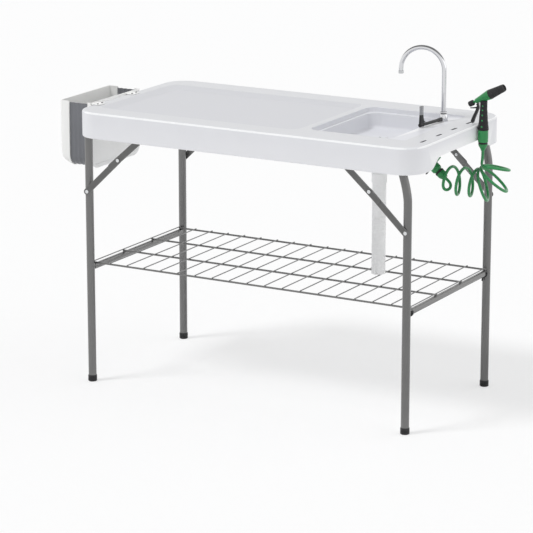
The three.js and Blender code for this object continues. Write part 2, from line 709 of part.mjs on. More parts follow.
function barrelRadius(station) {
  return barrel.rear + ((barrel.joint - barrel.rear) * station) / barrel.length;
}

function barrelGeometry(growth = 0) {
  const { length, rear, joint, tail, tailRadius } = barrel;
  return turned([
    [0, -tail - growth],
    [tailRadius + growth, -tail - growth],
    [tailRadius + growth, -growth],
    [rear + growth, -growth],
    [joint + growth, length],
    [0, length],
  ], roundSides);
}

aim(add('gun_body', barrelGeometry(), looks.green, barrelPlace), barrelWay);

const nozzleStart = barrel.length + fitGap;
const nozzleEnd = nozzleStart + nozzle.length;
aim(add('gun_nozzle', turned([
  [0, nozzleStart],
  [barrel.joint, nozzleStart],
  [nozzle.tip, nozzleEnd],
  [nozzle.bore, nozzleEnd],
  [nozzle.bore, nozzleEnd - nozzle.boreDepth],
  [0, nozzleEnd - nozzle.boreDepth],
]), looks.black, barrelPlace), barrelWay);

const knobFront = -barrel.tail - fitGap;
const knobRod = rod(knob.radius, knobFront - knob.length, knobFront, smallSides);
aim(add('gun_flow_knob', knobRod, looks.black, barrelPlace), barrelWay);

function gripGeometry() {
  const { below, above, bottomRadius, middleRadius, topRadius } = grip;
  const bottom = gripBottom;
  const top = table.height + above;
  const length = below + above;
  const gripShares = { waist: 0.4, neck: 0.75 };
  const handle = turned([
    [0, bottom],
    [bottomRadius, bottom],
    [middleRadius, bottom + length * gripShares.waist],
    [topRadius, bottom + length * gripShares.neck],
    [topRadius, top],
    [0, top],
  ]);
  const barrelTool = barrelGeometry(fitGap);
  barrelTool.applyQuaternion(new THREE.Quaternion().setFromUnitVectors(zAxis, barrelWay));
  barrelTool.translate(gunRearX - gunX, 0, gunRearZ);
  return cut(handle, barrelTool);
}

const gunPlace = [gunX, gunY, 0];
add('gun_grip', gripGeometry(), looks.black, gunPlace);

const collarTop = gripBottom - fitGap;
const ringTop = collarTop - gunCollar.height - fitGap;
const coneTop = ringTop - gunRing.height - fitGap;
const tailTop = coneTop - gunCone.height;
add('gun_collar', rod(gunCollar.radius, collarTop - gunCollar.height, collarTop), looks.green, gunPlace);
add('gun_ring', rod(gunRing.radius, ringTop - gunRing.height, ringTop), looks.black, gunPlace);
const coneProfile = [[0, tailTop], [gunCone.end, tailTop], [gunCone.radius, coneTop], [0, coneTop]];
add('gun_cone', turned(coneProfile), looks.green, gunPlace);

// Trigger: its round top lies just under the barrel, and it bends at a knee towards the rim
const triggerDrop = barrelRadius(trigger.station) + fitGap + trigger.round;
const triggerX = gunRearX + trigger.station * Math.cos(tilt) + triggerDrop * Math.sin(tilt);
const triggerZ = gunRearZ + trigger.station * Math.sin(tilt) - triggerDrop * Math.cos(tilt);

function triggerGeometry() {
  const { round, width, thickness } = trigger;
  const { kneeX, kneeZ, tipX, tipZ } = triggerBend;
  const half = thickness / 2;
  const nearEdge = [[-half, 0], [kneeX - half, kneeZ], [tipX - half, tipZ]];
  const farEdge = [[tipX + half, tipZ], [kneeX + half, kneeZ], [half, 0]];
  const blade = polygon([...nearEdge, ...farEdge]);
  return alongY(join(prism(blade, 0, width), prism(circleShape(round), 0, width, 0, smallSides / 2)));
}

add('gun_trigger', triggerGeometry(), looks.black, [triggerX, gunY + trigger.width / 2, triggerZ]);

// Inlet: a bent supply tube from the shank, the winged adaptor, a ring and the hose connector
const inletDown = radians(inlet.downDegrees);
const inletWay = new THREE.Vector3(Math.cos(inletDown), 0, -Math.sin(inletDown));
const inletX = halfLength - inlet.endInset;
const inletY = halfWidth - inlet.backInset;
const inletPlace = new THREE.Vector3(inletX, inletY, table.height - inlet.drop);

function inletPoint(station) {
  return inletPlace.clone().addScaledVector(inletWay, station);
}

function elbowGeometry() {
  const start = new THREE.Vector3(faucetX, faucetY, shankBottom - fitGap);
  const finish = inletPoint(-fitGap);
  const under = start.clone().addScaledVector(zAxis, -inlet.bend);
  const before = inletPoint(-inlet.bend);
  const path = new THREE.CubicBezierCurve3(start, under, before, finish);
  return pipe(path, inlet.tube, 0, elbowSteps, smallSides);
}

add('inlet_elbow', elbowGeometry(), looks.black);

const wingOutline = {
  left: -wing.length / 2,
  right: wing.length / 2,
  front: -wing.width / 2,
  back: wing.width / 2,
};
const wingPlate = prism(roundedShape(wingOutline, wing.radius), 0, wing.thickness);
const adaptorBody = turned([
  [0, 0],
  [adaptor.radius, 0],
  [adaptor.radius, adaptor.taperStart],
  [adaptor.neck, adaptor.length],
  [0, adaptor.length],
]);
aim(add('inlet_adaptor', join(adaptorBody, wingPlate), looks.green, inletPlace.toArray()), inletWay);

const inletRingStart = adaptor.length + fitGap;
const connectorStart = inletRingStart + inletRing.length + fitGap;
const connectorEnd = connectorStart + connector.length;
const ringRod = rod(inletRing.radius, inletRingStart, inletRingStart + inletRing.length);
aim(add('inlet_ring', ringRod, looks.black, inletPlace.toArray()), inletWay);
const connectorProfile = [
  [0, connectorStart],
  [connector.radius, connectorStart],
  [connector.end, connectorEnd],
  [0, connectorEnd],
];
aim(add('inlet_connector', turned(connectorProfile), looks.green, inletPlace.toArray()), inletWay);

// Coil hose: from the connector down the rear of the first loop, up its front, and on towards the gun.
// The coil's axis runs level, then bends up through a quarter turn below the gun, with wider loops there.
const bearing = radians(coil.bearingDegrees);
const ahead = new THREE.Vector3(Math.cos(bearing), Math.sin(bearing), 0);
const forward = new THREE.Vector3(Math.sin(bearing), -Math.cos(bearing), 0);
const bendCentre = new THREE.Vector3(gunX, gunY, table.height - coil.drop);
bendCentre.addScaledVector(ahead, -coil.inner);

function coilPoint(turn) {
  const { bend, calm, upright } = coilTurns;
  const lean = (THREE.MathUtils.clamp((turn - bend) / (upright - bend), 0, 1) * Math.PI) / 2;
  const swollen = THREE.MathUtils.clamp((turn - bend) / (calm - bend), 0, 1);
  const reach = coil.radius + coil.swell * Math.sin(swollen * Math.PI);
  const outward = ahead.clone().multiplyScalar(Math.sin(lean)).addScaledVector(zAxis, -Math.cos(lean));
  const centre = bendCentre.clone().addScaledVector(outward, coil.inner + reach);
  if (turn < bend) centre.addScaledVector(ahead, (turn - bend) * coil.pitch);
  if (turn > upright) centre.addScaledVector(zAxis, (turn - upright) * coil.rise);
  const angle = 2 * Math.PI * turn;
  centre.addScaledVector(forward, -reach * Math.cos(angle));
  return centre.addScaledVector(outward, reach * Math.sin(angle));
}

function coilHeading(turn) {
  const small = 1 / (4 * coilTurns.stepsPerTurn);
  return coilPoint(turn + small).sub(coilPoint(turn - small)).normalize();
}

// Samples a straight lead and a curve that joins it to the coil
function leadPoints(from, way, to, toWay) {
  const straightEnd = from.clone().addScaledVector(way, hose.lead);
  const pull = straightEnd.clone().addScaledVector(way, hose.swing);
  const push = to.clone().addScaledVector(toWay, -hose.lift);
  const curve = new THREE.CubicBezierCurve3(straightEnd, pull, push, to);
  const straight = [from, from.clone().lerp(straightEnd, 0.5)];
  return [...straight, ...curve.getSpacedPoints(hoseCounts.leadPoints)];
}

function hosePath() {
  const { start, end, stepsPerTurn } = coilTurns;
  const exit = inletPoint(connectorEnd + fitGap);
  const points = leadPoints(exit, inletWay, coilPoint(start), coilHeading(start));
  const steps = Math.round((end - start) * stepsPerTurn);
  for (let i = 1; i < steps; i += 1) points.push(coilPoint(start + (i / steps) * (end - start)));
  const tail = new THREE.Vector3(gunX, gunY, tailTop - fitGap);
  const last = leadPoints(tail, zAxis.clone().negate(), coilPoint(end), coilHeading(end).negate());
  points.push(...last.reverse());
  return new THREE.CatmullRomCurve3(points, false, 'centripetal');
}

const coilPath = hosePath();
const coilSteps = Math.round((coilPath.getLength() / (2 * Math.PI * coil.radius)) * coilTurns.stepsPerTurn);
add('coil_hose', pipe(coilPath, hose.radius, 0, coilSteps, hoseCounts.sides), looks.green);

// The least gap between stretches of the coil hose that aren't next to each other along it
function leastGap(path, radius, skip) {
  const points = path.getSpacedPoints(hoseCounts.gapSamples);
  const step = path.getLength() / points.length;
  let least = Infinity;
  for (let i = 0; i < points.length; i += 1) {
    for (let j = i + Math.ceil(skip / step); j < points.length; j += 1) {
      least = Math.min(least, points[i].distanceTo(points[j]) - 2 * radius);
    }
  }
  return least;
}

const hoseGap = leastGap(coilPath, hose.radius, coil.radius);
console.log('coil hose length', coilPath.getLength().toFixed(0), 'least gap', hoseGap.toFixed(2));

// Waste bin: outer shell, folding gusset and a back plate with hooks over the rim
const binLeft = -halfLength - bin.outer;
const plateRight = -halfLength - fitGap;
const plateLeft = plateRight - bin.wall;
const shellRight = binLeft + binFlange.shell;

// The bin's bulk between two places along X, drawn in by an inset all round
function binBulk(left, right, inset, top, outerRadius) {
  const side = new THREE.Shape();
  const wallX = Math.max(binLeft + inset, left);
  const curve = Math.max(outerRadius - inset, 0);
  side.moveTo(right, binBottom + inset);
  side.lineTo(right, top);
  side.lineTo(wallX, top);
  if (curve > 0) {
    side.lineTo(wallX, binBottom + inset + curve);
    side.absarc(wallX + curve, binBottom + inset + curve, curve, Math.PI, 1.5 * Math.PI, false);
  } else {
    side.lineTo(wallX, binBottom + inset);
  }
  const depth = alongY(prism(side, 0, binBack - binFront - 2 * inset)).translate(0, binBack - inset, 0);
  const face = {
    left: binFront + inset,
    right: binBack - inset,
    front: binBottom + inset,
    back: top + bin.cornerRadius,
  };
  const outline = alongX(prism(roundedShape(face, bin.cornerRadius - inset), left - cutRun, right + cutRun));
  return common(depth, outline);
}

const shellBulk = binBulk(binLeft, shellRight + cutRun, 0, binTop, bin.outerRadius);
const shellHollow = binBulk(binLeft, shellRight + 2 * cutRun, bin.wall, binTop + cutRun, bin.outerRadius);
const shellEnd = new THREE.BoxGeometry(2 * cutRun, 2 * table.width, 2 * table.height);
shellEnd.translate(shellRight + cutRun, 0, table.height);
add('bin_shell', cut(shellBulk, shellHollow, shellEnd), looks.white);

const gussetInset = binGusset.inset;
const gussetLeft = shellRight + fitGap;
const gussetRight = plateLeft - binFlange.plate - fitGap;
const gussetBulk = binBulk(gussetLeft, gussetRight, gussetInset, binTop - gussetInset, 0);
const gussetWallInset = gussetInset + binGusset.wall;
const gussetHollow = binBulk(gussetLeft - cutRun, gussetRight + cutRun, gussetWallInset, binTop + cutRun, 0);
add('bin_gusset', cut(gussetBulk, gussetHollow), looks.dark);

function plateGeometry() {
  const { plate, inset } = binFlange;
  const plateBulk = binBulk(plateLeft, plateRight, 0, binTop, 0);
  const flange = binBulk(plateLeft - plate, plateRight, inset, binTop, 0);
  const flangeHollow = binBulk(plateLeft - plate - cutRun, plateLeft, inset + bin.wall, binTop + cutRun, 0);
  const hooks = [binFront + binHook.frontInset, binBack - binHook.backInset].map((y) => {
    const hook = new THREE.BoxGeometry(binHook.reach + bin.wall, binHook.width, binHook.thickness);
    const middleX = plateLeft + (binHook.reach + bin.wall) / 2;
    return hook.translate(middleX, y, table.height + fitGap + binHook.thickness / 2);
  });
  return join(plateBulk, cut(flange, flangeHollow), ...hooks);
}

add('bin_back_plate', plateGeometry(), looks.white);

// The model stands over its own middle: the middle of everything but the hose that lies free
const cordNames = ['coil_hose'];
model.updateMatrixWorld(true);
const extent = new THREE.Box3();
for (const mesh of standing.children) {
  if (!cordNames.includes(mesh.name)) extent.expandByObject(mesh, true);
}
const middle = extent.getCenter(new THREE.Vector3());
standing.position.x = -middle.x;
standing.position.y = -middle.y;
console.log('middle of the standing model', middle.x.toFixed(4), middle.y.toFixed(4));

export default model;
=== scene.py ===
# The looks of the fish cleaning table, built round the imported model.
# Shapes are given in millimetres, measured from the middle of the table top, and turned into the row frame.
from math import atan2, cos, hypot, pi, radians, sin, sqrt
from types import SimpleNamespace as Sizes

import bmesh
import bpy
from mathutils import Matrix, Vector


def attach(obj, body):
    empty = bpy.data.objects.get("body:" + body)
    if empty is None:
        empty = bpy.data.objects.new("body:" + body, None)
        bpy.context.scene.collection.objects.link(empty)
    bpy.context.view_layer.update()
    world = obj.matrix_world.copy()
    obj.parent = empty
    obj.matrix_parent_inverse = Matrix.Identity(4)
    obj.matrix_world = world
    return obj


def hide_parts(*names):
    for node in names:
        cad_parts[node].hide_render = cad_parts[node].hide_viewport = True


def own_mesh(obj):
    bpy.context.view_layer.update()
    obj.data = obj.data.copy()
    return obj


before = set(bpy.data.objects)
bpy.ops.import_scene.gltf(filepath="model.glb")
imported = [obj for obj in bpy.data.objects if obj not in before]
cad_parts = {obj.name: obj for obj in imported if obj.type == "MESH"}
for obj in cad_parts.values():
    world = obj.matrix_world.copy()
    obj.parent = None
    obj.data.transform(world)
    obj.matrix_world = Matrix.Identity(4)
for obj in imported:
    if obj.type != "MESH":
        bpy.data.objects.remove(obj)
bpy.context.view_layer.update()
scene = bpy.context.scene

MM = 0.001
SHIFT = 12.9574  # the row frame's middle against the table's middle, along X
GAP = 0.3  # between pieces that touch in the real object
HAIR = 0.02  # an edge or overlap that is too small to see
SHARP = 38  # degrees from which an edge is shown sharp


def at(x, y, z):
    return Vector(((x + SHIFT) * MM, y * MM, z * MM))


class Nodes:
    """Adds nodes to a material or a world. An input is a value or another node's output"""

    def __init__(self, owner):
        owner.use_nodes = True
        self.tree = owner.node_tree

    def fill(self, node, inputs):
        for name, value in inputs.items():
            if isinstance(value, bpy.types.NodeSocket):
                self.tree.links.new(value, node.inputs[name])
            else:
                node.inputs[name].default_value = value

    def add(self, kind, inputs=None, **settings):
        node = self.tree.nodes.new("ShaderNode" + kind)
        for name, value in settings.items():
            setattr(node, name, value)
        self.fill(node, inputs or {})
        return node.outputs

    def ramp(self, value, stops):
        node = self.tree.nodes.new("ShaderNodeValToRGB")
        marks = node.color_ramp.elements
        for number, (spot, colour) in enumerate(stops):
            mark = marks[number] if number < 2 else marks.new(spot)
            mark.position = spot
            mark.color = (*colour, 1)
        self.fill(node, {"Fac": value})
        return node.outputs["Color"]


# Camera, light and floor
CAMERA = Sizes(sensor=36, lens=181.4, place=(3.9049, -7.0285, 2.4625), down=75.444, turn=29.449)
SKY = (0.985, 0.99, 1.0, 1)
SKY_STRENGTH = 0.5
WHITE = (1, 1, 1, 1)
FLOOR_REACH = 60
FLOOR_GLOW = 0.55  # the share of plain white that the camera sees in the floor


def link(name, data):
    thing = bpy.data.objects.new(name, data)
    scene.collection.objects.link(thing)
    return thing


def make_camera():
    data = bpy.data.cameras.new("camera")
    data.sensor_width = CAMERA.sensor
    data.lens = CAMERA.lens
    data.clip_end = 100
    camera = link("camera", data)
    camera.location = CAMERA.place
    camera.rotation_euler = (radians(CAMERA.down), 0, radians(CAMERA.turn))
    scene.camera = camera


def make_light():
    """A soft world that is white where it is seen, and two suns. The hard one isn't seen in gloss"""
    world = bpy.data.worlds.new("studio")
    scene.world = world
    nodes = Nodes(world)
    nodes.tree.nodes.clear()
    path = nodes.add("LightPath")
    seen = nodes.add("Math", {0: path["Is Camera Ray"], 1: path["Is Glossy Ray"]}, operation="MAXIMUM")
    seen = nodes.add("Math", {0: seen[0], 1: path["Is Transmission Ray"]}, operation="MAXIMUM")
    soft = nodes.add("Background", {"Color": SKY, "Strength": SKY_STRENGTH})
    shown = nodes.add("Background", {"Color": WHITE, "Strength": 1})
    mix = nodes.add("MixShader", {0: seen[0], 1: soft[0], 2: shown[0]})
    nodes.add("OutputWorld", {0: mix[0]})
    for name, energy, spread, source, in_gloss in (
        ("key", 1.38, 14, (-1.0, -1.25, 2.6), False),
        ("side", 0.66, 80, (2.2, 0.9, 1.4), True),
    ):
        data = bpy.data.lights.new(name, "SUN")
        data.energy = energy
        data.angle = radians(spread)
        lamp = link(name, data)
        lamp.rotation_euler = Vector(source).to_track_quat("Z", "Y").to_euler()
        lamp.visible_glossy = in_gloss


def make_floor():
    mesh = bpy.data.meshes.new("floor")
    corners = ((-1, -1), (1, -1), (1, 1), (-1, 1))
    mesh.from_pydata([(x * FLOOR_REACH, y * FLOOR_REACH, 0) for x, y in corners], [], [(0, 1, 2, 3)])
    floor = link("floor", mesh)
    floor.location.z = -0.0005
    surface = bpy.data.materials.new("floor")
    nodes = Nodes(surface)
    shader = nodes.tree.nodes["Principled BSDF"]
    nodes.fill(shader, {"Base Color": (0.98, 0.98, 0.98, 1), "Roughness": 0.9, "Specular IOR Level": 0.1})
    path = nodes.add("LightPath")
    share = nodes.add("Math", {0: path["Is Camera Ray"], 1: FLOOR_GLOW}, operation="MULTIPLY")
    shown = nodes.add("Emission", {"Color": WHITE})
    mix = nodes.add("MixShader", {0: share[0], 1: shader.outputs[0], 2: shown[0]})
    nodes.fill(nodes.tree.nodes["Material Output"], {"Surface": mix[0]})
    mesh.materials.append(surface)


make_camera()
scene.view_settings.view_transform = "Standard"


# Looks. Each is a shader with its own grain, tint and edge lightening (partly wear, partly a painted highlight) in
# the object's own coordinates
MOTTLE = 14
MIDDLE = {"From Min": 0.3, "From Max": 0.7}  # the part of a noise's range that is used
EDGE = {"From Min": 0.505, "From Max": 0.56}  # pointiness from flat to sharp


def look(name, colour, roughness, grain, depth, tint, wear_and_highlight=0.0, spread=0.06, stretch=(1, 1, 1), reflection_bands=(), **fixed):
    """grain is the fine noise's scale, depth its height and spread the play of the roughness. The edge lightening
    is partly edge wear and partly a painted highlight where rounded edges catch the light. The bands are a painted
    reflection, shades by the slope, as (place from level or down at 0 to up at 1, shade)"""
    material = bpy.data.materials.new(name)
    nodes = Nodes(material)
    shader = nodes.tree.nodes["Principled BSDF"]
    nodes.fill(shader, {"Coat Roughness": 0.12, **{key.replace("_", " "): value for key, value in fixed.items()}})
    place = nodes.add("TexCoord")["Object"]
    place = nodes.add("Mapping", {"Scale": stretch, "Vector": place})["Vector"]
    broad = nodes.add("TexNoise", {"Scale": MOTTLE, "Detail": 3, "Vector": place})["Fac"]
    fine = nodes.add("TexNoise", {"Scale": grain, "Detail": 2, "Vector": place})["Fac"]
    dull, bright = [c * (1 - tint) for c in colour], [min(1, c * (1 + tint)) for c in colour]
    painted = nodes.ramp(broad, ((MIDDLE["From Min"], dull), (MIDDLE["From Max"], bright)))
    surface = nodes.add("NewGeometry")

    def mixed(share, first, second, way="MIX"):
        inputs = {"Factor": share, "A": first, "B": second}
        return nodes.add("Mix", inputs, data_type="RGBA", blend_type=way)["Result"]

    # Painted reflection: the colour is darkened by the surface's slope, standing in for a dark ceiling mirrored in
    # the chrome
    if reflection_bands:
        slope = nodes.add("SeparateXYZ", {"Vector": surface["Normal"]})["Z"]
        painted_reflection = nodes.ramp(slope, [(spot, [tone] * 3) for spot, tone in reflection_bands])
        painted = mixed(1, painted, painted_reflection, "MULTIPLY")
    # Sharp edges lightened by pointiness: partly edge wear, partly a painted highlight
    if wear_and_highlight:
        edge = nodes.add("MapRange", {"Value": surface["Pointiness"], **EDGE, "To Max": wear_and_highlight})["Result"]
        painted = mixed(edge, painted, (*[min(1, c * 1.6 + 0.03) for c in colour], 1))
    low, high = max(0.02, roughness - spread), roughness + spread
    gloss = nodes.add("MapRange", {"Value": broad, **MIDDLE, "To Min": low, "To Max": high})["Result"]
    bump = nodes.add("Bump", {"Strength": 0.6, "Distance": depth, "Height": fine})["Normal"]
    nodes.fill(shader, {"Base Color": painted, "Roughness": gloss, "Normal": bump})
    return material


# A painted reflection for the chrome: faces that look upwards are darkened, as a dark ceiling mirrored there
CHROME_PAINTED_REFLECTION = ((0, 1), (0.36, 1), (0.5, 0.2), (0.86, 0.2), (1, 0.5))
looks = {
    # The top's edge lightening, 0.7, is a painted highlight along its rounded edges
    "top": look("moulded_top", (0.742, 0.748, 0.783), 0.42, 1400, 6e-5, 0.012, 0.7),
    "tray": look("tray_grain", (0.65, 0.654, 0.68), 0.5, 2600, 12e-5, 0.015),
    "rim": look("rim_face", (0.685, 0.69, 0.708), 0.45, 1800, 8e-5, 0.012),
    # A painted highlight: the rim's rounded outer edge is given a near-white colour
    "lip": look("rim_lip_painted_highlight", (0.95, 0.955, 0.965), 0.3, 1400, 4e-5, 0.01),
    # Painted shade: the slots' walls are dark grey where shade falls inside the openings
    "slot_shade": look("slot_wall_painted_shade", (0.2, 0.2, 0.21), 0.6, 1400, 6e-5, 0.05),
    "frame": look("frame_paint", (0.14, 0.139, 0.137), 0.34, 2200, 3e-5, 0.06, 0.25, Metallic=0.55,
                  Coat_Weight=0.6),
    # The links' edge lightening, 0.6, is a painted highlight on their rolled edges
    "link": look("link_paint", (0.116, 0.116, 0.114), 0.36, 2200, 4e-5, 0.07, 0.6, Metallic=0.4, Coat_Weight=0.4),
    "zinc": look("rivet_zinc", (0.72, 0.73, 0.74), 0.2, 1800, 3e-5, 0.05, Metallic=1),
    "black": look("black_plastic", (0.016, 0.016, 0.017), 0.36, 2000, 6e-5, 0.15, 0.12, Specular_IOR_Level=0.38),
    "grip": look("grip_rubber", (0.018, 0.018, 0.019), 0.5, 1500, 12e-5, 0.12, 0.1, Specular_IOR_Level=0.25),
    "black_steel": look("black_steel", (0.03, 0.03, 0.031), 0.4, 1800, 4e-5, 0.1, 0.2, Metallic=0.3),
    "clear": look("clear_grip", (0.42, 0.43, 0.45), 0.14, 700, 3e-5, 0.08, Transmission_Weight=0.35),
    "chrome": look("chrome", (0.7, 0.705, 0.72), 0.06, 300, 8e-6, 0.02, spread=0.03, reflection_bands=CHROME_PAINTED_REFLECTION,
                   Metallic=1),
    "steel": look("brushed_steel", (0.6, 0.61, 0.62), 0.3, 1600, 5e-5, 0.05, stretch=(1, 0.06, 1), Metallic=1),
    "yellow": look("yellow_plastic", (0.68, 0.42, 0.03), 0.4, 1500, 5e-5, 0.06, 0.15),
    "rubber": look("black_rubber", (0.014, 0.014, 0.014), 0.65, 1300, 10e-5, 0.2),
    "white": look("white_plastic", (0.93, 0.93, 0.915), 0.45, 1600, 6e-5, 0.012, 0.1),
    "hose": look("hose_plastic", (0.96, 0.96, 0.96), 0.38, 900, 5e-5, 0.03, 0.15, Transmission_Weight=0.05),
    "green": look("green_plastic", (0.016, 0.225, 0.06), 0.32, 1500, 5e-5, 0.07, 0.2, Coat_Weight=0.05),
    "green_hose": look("green_hose", (0.014, 0.235, 0.062), 0.3, 600, 4e-5, 0.08, Coat_Weight=0.15),
    "gusset": look("gusset_plastic", (0.165, 0.17, 0.185), 0.5, 1800, 7e-5, 0.04, 0.1),
}


# Shapes are pairs of points and faces
def shares(steps):
    """Even steps from 0 to 1"""
    return [i / steps for i in range(steps + 1)]


def angles(count):
    return [2 * pi * i / count for i in range(count)]


def grown(box, by):
    left, right, front, back = box
    return (left - by, right + by, front - by, back + by)


def rounded(box, radius, steps=8):
    left, right, front, back = grown(box, -radius)
    points = []
    for x, y, start in ((right, front, -90), (right, back, 0), (left, back, 90), (left, front, 180)):
        for share in shares(steps):
            angle = radians(start + 90 * share)
            points.append((x + radius * cos(angle), y + radius * sin(angle)))
    return points


def level(points, z):
    return [(x, y, z) for x, y in points]


def ring_of(box, by, corner, steps, z):
    """A level ring round a box that is grown by a margin"""
    return level(rounded(grown(box, by), corner, steps), z)


def circle(radius, count, other=None):
    """A circle, or an ellipse where the other radius is given"""
    return [(radius * cos(a), (other or radius) * sin(a)) for a in angles(count)]


def quarter(steps):
    """The sine and cosine at even steps of a quarter turn"""
    return [(sin(pi / 2 * share), cos(pi / 2 * share)) for share in shares(steps)]


def foot_of(box, corner, steps, bottom, size, turns, by=0, follow=1):
    """Rings that round the foot of a block or a pocket. follow is the corner's share in the inset"""
    rings = []
    for s, c in quarter(turns):
        inset = size * (1 - s)
        rings.append(ring_of(box, by - inset, max(corner - follow * inset, 0.05), steps, bottom + size * (1 - c)))
    return rings


def head_of(box, corner, steps, top, size, turns):
    rings = []
    for s, c in quarter(turns):
        inset = size * (1 - c)
        rings.append(ring_of(box, -inset, max(corner - inset, 0.05), steps, top - size * (1 - s)))
    return rings


def across(x, outline):
    """An outline of (y, z) in a plane across the table"""
    return [(x, y, z) for y, z in outline]


def bezier(a, b, c, d, t):
    return a * (1 - t) ** 3 + b * (3 * t * (1 - t) ** 2) + c * (3 * t ** 2 * (1 - t)) + d * t ** 3


def raised(profile, by):
    return [(radius, z + by) for radius, z in profile]


def loft(rings, closed=False):
    count = len(rings[0])
    points = [point for ring in rings for point in ring]
    faces = []
    for i in range(len(rings) if closed else len(rings) - 1):
        low = i * count
        high = ((i + 1) % len(rings)) * count
        for j in range(count):
            k = (j + 1) % count
            faces.append((low + j, low + k, high + k, high + j))
    if not closed:
        faces.append(tuple(reversed(range(count))))
        faces.append(tuple(range((len(rings) - 1) * count, len(rings) * count)))
    return points, faces


def joined(*shapes):
    points = []
    faces = []
    for more_points, more_faces in shapes:
        start = len(points)
        points += more_points
        faces += [tuple(start + i for i in face) for face in more_faces]
    return points, faces


def mapped(shape, rule):
    """A shape with a rule that gives each point's new place"""
    points, faces = shape
    return [rule(*point) for point in points], faces


def moved(shape, matrix):
    return mapped(shape, lambda *point: tuple(matrix @ Vector(point)))


def shifted(shape, x, y, z=0):
    return moved(shape, Matrix.Translation((x, y, z)))


def aimed(shape, place, direction, side=(0, 1, 0)):
    """Turns a shape's own Z to a direction, with its Y kept near a side direction"""
    z = Vector(direction).normalized()
    x = Vector(side).cross(z).normalized()
    y = z.cross(x)
    matrix = Matrix((x, y, z)).transposed().to_4x4()
    return moved(shape, Matrix.Translation(place) @ matrix)


def along_y(shape):
    """Turns the outline's plane into XZ, with its height towards -Y"""
    return mapped(shape, lambda x, y, z: (x, -z, y))


def along_x(shape):
    """Turns the outline's plane into YZ, with its height along X"""
    return mapped(shape, lambda x, y, z: (z, x, y))


def lathe(profile, sides=48, closed=False, flutes=None):
    """Turns a profile of radius and height about Z. flutes is (count, depth, low, high)"""
    rings = []
    for radius, z in profile:
        ring = []
        for angle in angles(sides):
            reach = max(radius, HAIR)
            if flutes and flutes[2] <= z <= flutes[3]:
                reach -= flutes[1] * (0.5 - 0.5 * cos(flutes[0] * angle))
            ring.append((reach * cos(angle), reach * sin(angle), z))
        rings.append(ring)
    return loft(rings, closed)


def eased(profile, radius=0.8, steps=3):
    """Rounds the inner corners of a profile of radius and height"""
    points = [Vector(p) for p in profile]
    out = [tuple(points[0])]
    for before, here, after in zip(points, points[1:], points[2:]):
        back = before - here
        on = after - here
        reach = min(radius, back.length * 0.45, on.length * 0.45)
        if reach < 0.02 or abs(back.normalized().cross(on.normalized())) < 0.05:
            out.append(tuple(here))
            continue
        start = here + back.normalized() * reach
        end = here + on.normalized() * reach
        for t in shares(steps):
            out.append(tuple(start * (1 - t) ** 2 + here * (2 * t * (1 - t)) + end * t ** 2))
    out.append(tuple(points[-1]))
    return out


def rod(radius, bottom, top, sides=32, edge=0.6):
    return lathe(eased([(0, bottom), (radius, bottom), (radius, top), (0, top)], edge), sides)


def block(box, corner, bottom, top, edge=0.8, steps=3, corner_steps=6):
    """An upright block with rounded corners and edges"""
    foot = foot_of(box, corner, corner_steps, bottom, edge, steps)
    return loft([*foot, *head_of(box, corner, corner_steps, top, edge, steps)])


def spline(points, per=6):
    """A centripetal curve through points, as the source makes it, with a number of steps between each two"""
    points = [Vector(p) for p in points]
    first = points[0] * 2 - points[1]
    last = points[-1] * 2 - points[-2]
    whole = [first, *points, last]
    out = []
    for i in range(1, len(whole) - 2):
        p0, p1, p2, p3 = whole[i - 1:i + 3]
        d1 = max((p1 - p0).length, 1e-6) ** 0.5
        d2 = max((p2 - p1).length, 1e-6) ** 0.5
        d3 = max((p3 - p2).length, 1e-6) ** 0.5
        m1 = ((p1 - p0) / d1 - (p2 - p0) / (d1 + d2) + (p2 - p1) / d2) * d2
        m2 = ((p2 - p1) / d2 - (p3 - p1) / (d2 + d3) + (p3 - p2) / d3) * d2
        for k in range(per):
            t = k / per
            out.append(p1 * (2 * t ** 3 - 3 * t ** 2 + 1) + m1 * (t ** 3 - 2 * t ** 2 + t)
                       + p2 * (-2 * t ** 3 + 3 * t ** 2) + m2 * (t ** 3 - t ** 2))
    out.append(points[-1])
    return out


def sweep(points, section, side=(0, 1, 0)):
    """Carries a section of (x, y) points along a path. A number stands for a round section of that radius"""
    points = [Vector(p) for p in points]
    if not isinstance(section, list):
        section = [section] * len(points)
    rings = []
    x = None
    for i, point in enumerate(points):
        way = (points[min(i + 1, len(points) - 1)] - points[max(i - 1, 0)]).normalized()
        if x is None:
            x = Vector(side).cross(way).normalized()
        x = (x - way * x.dot(way)).normalized()
        y = way.cross(x)
        shape = section[i]
        if not isinstance(shape, (list, tuple)):
            shape = circle(shape, 24)
        rings.append([tuple(point + x * u + y * v) for u, v in shape])
    return loft(rings)


def mesh_of(name, shape):
    mesh = bpy.data.meshes.new(name)
    points, faces = shape
    mesh.from_pydata([at(*point) for point in points], [], faces)
    work = bmesh.new()
    work.from_mesh(mesh)
    bmesh.ops.remove_doubles(work, verts=work.verts, dist=0.000002)
    bmesh.ops.recalc_face_normals(work, faces=work.faces)
    work.to_mesh(mesh)
    work.free()
    return mesh


def shade(mesh, angle):
    work = bmesh.new()
    work.from_mesh(mesh)
    for edge in work.edges:
        edge.smooth = not (edge.is_manifold and edge.calc_face_angle(0) > radians(angle))
    for face in work.faces:
        face.smooth = True
    work.to_mesh(mesh)
    work.free()


def piece(name, shape, paint, nodes=(), body="table", angle=SHARP):
    """A visible piece from a shape or a mesh, with its look, the nodes it stands for and the body it rides on"""
    mesh = mesh_of(name, shape) if isinstance(shape, tuple) else shape
    mesh.name = name
    shade(mesh, angle)
    mesh.materials.clear()
    mesh.materials.append(looks[paint])
    thing = link(name, mesh)
    even = thing.modifiers.new("even", "WEIGHTED_NORMAL")
    even.keep_sharp = True
    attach(thing, body)
    if nodes:
        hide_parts(*([nodes] if isinstance(nodes, str) else nodes))
    return thing


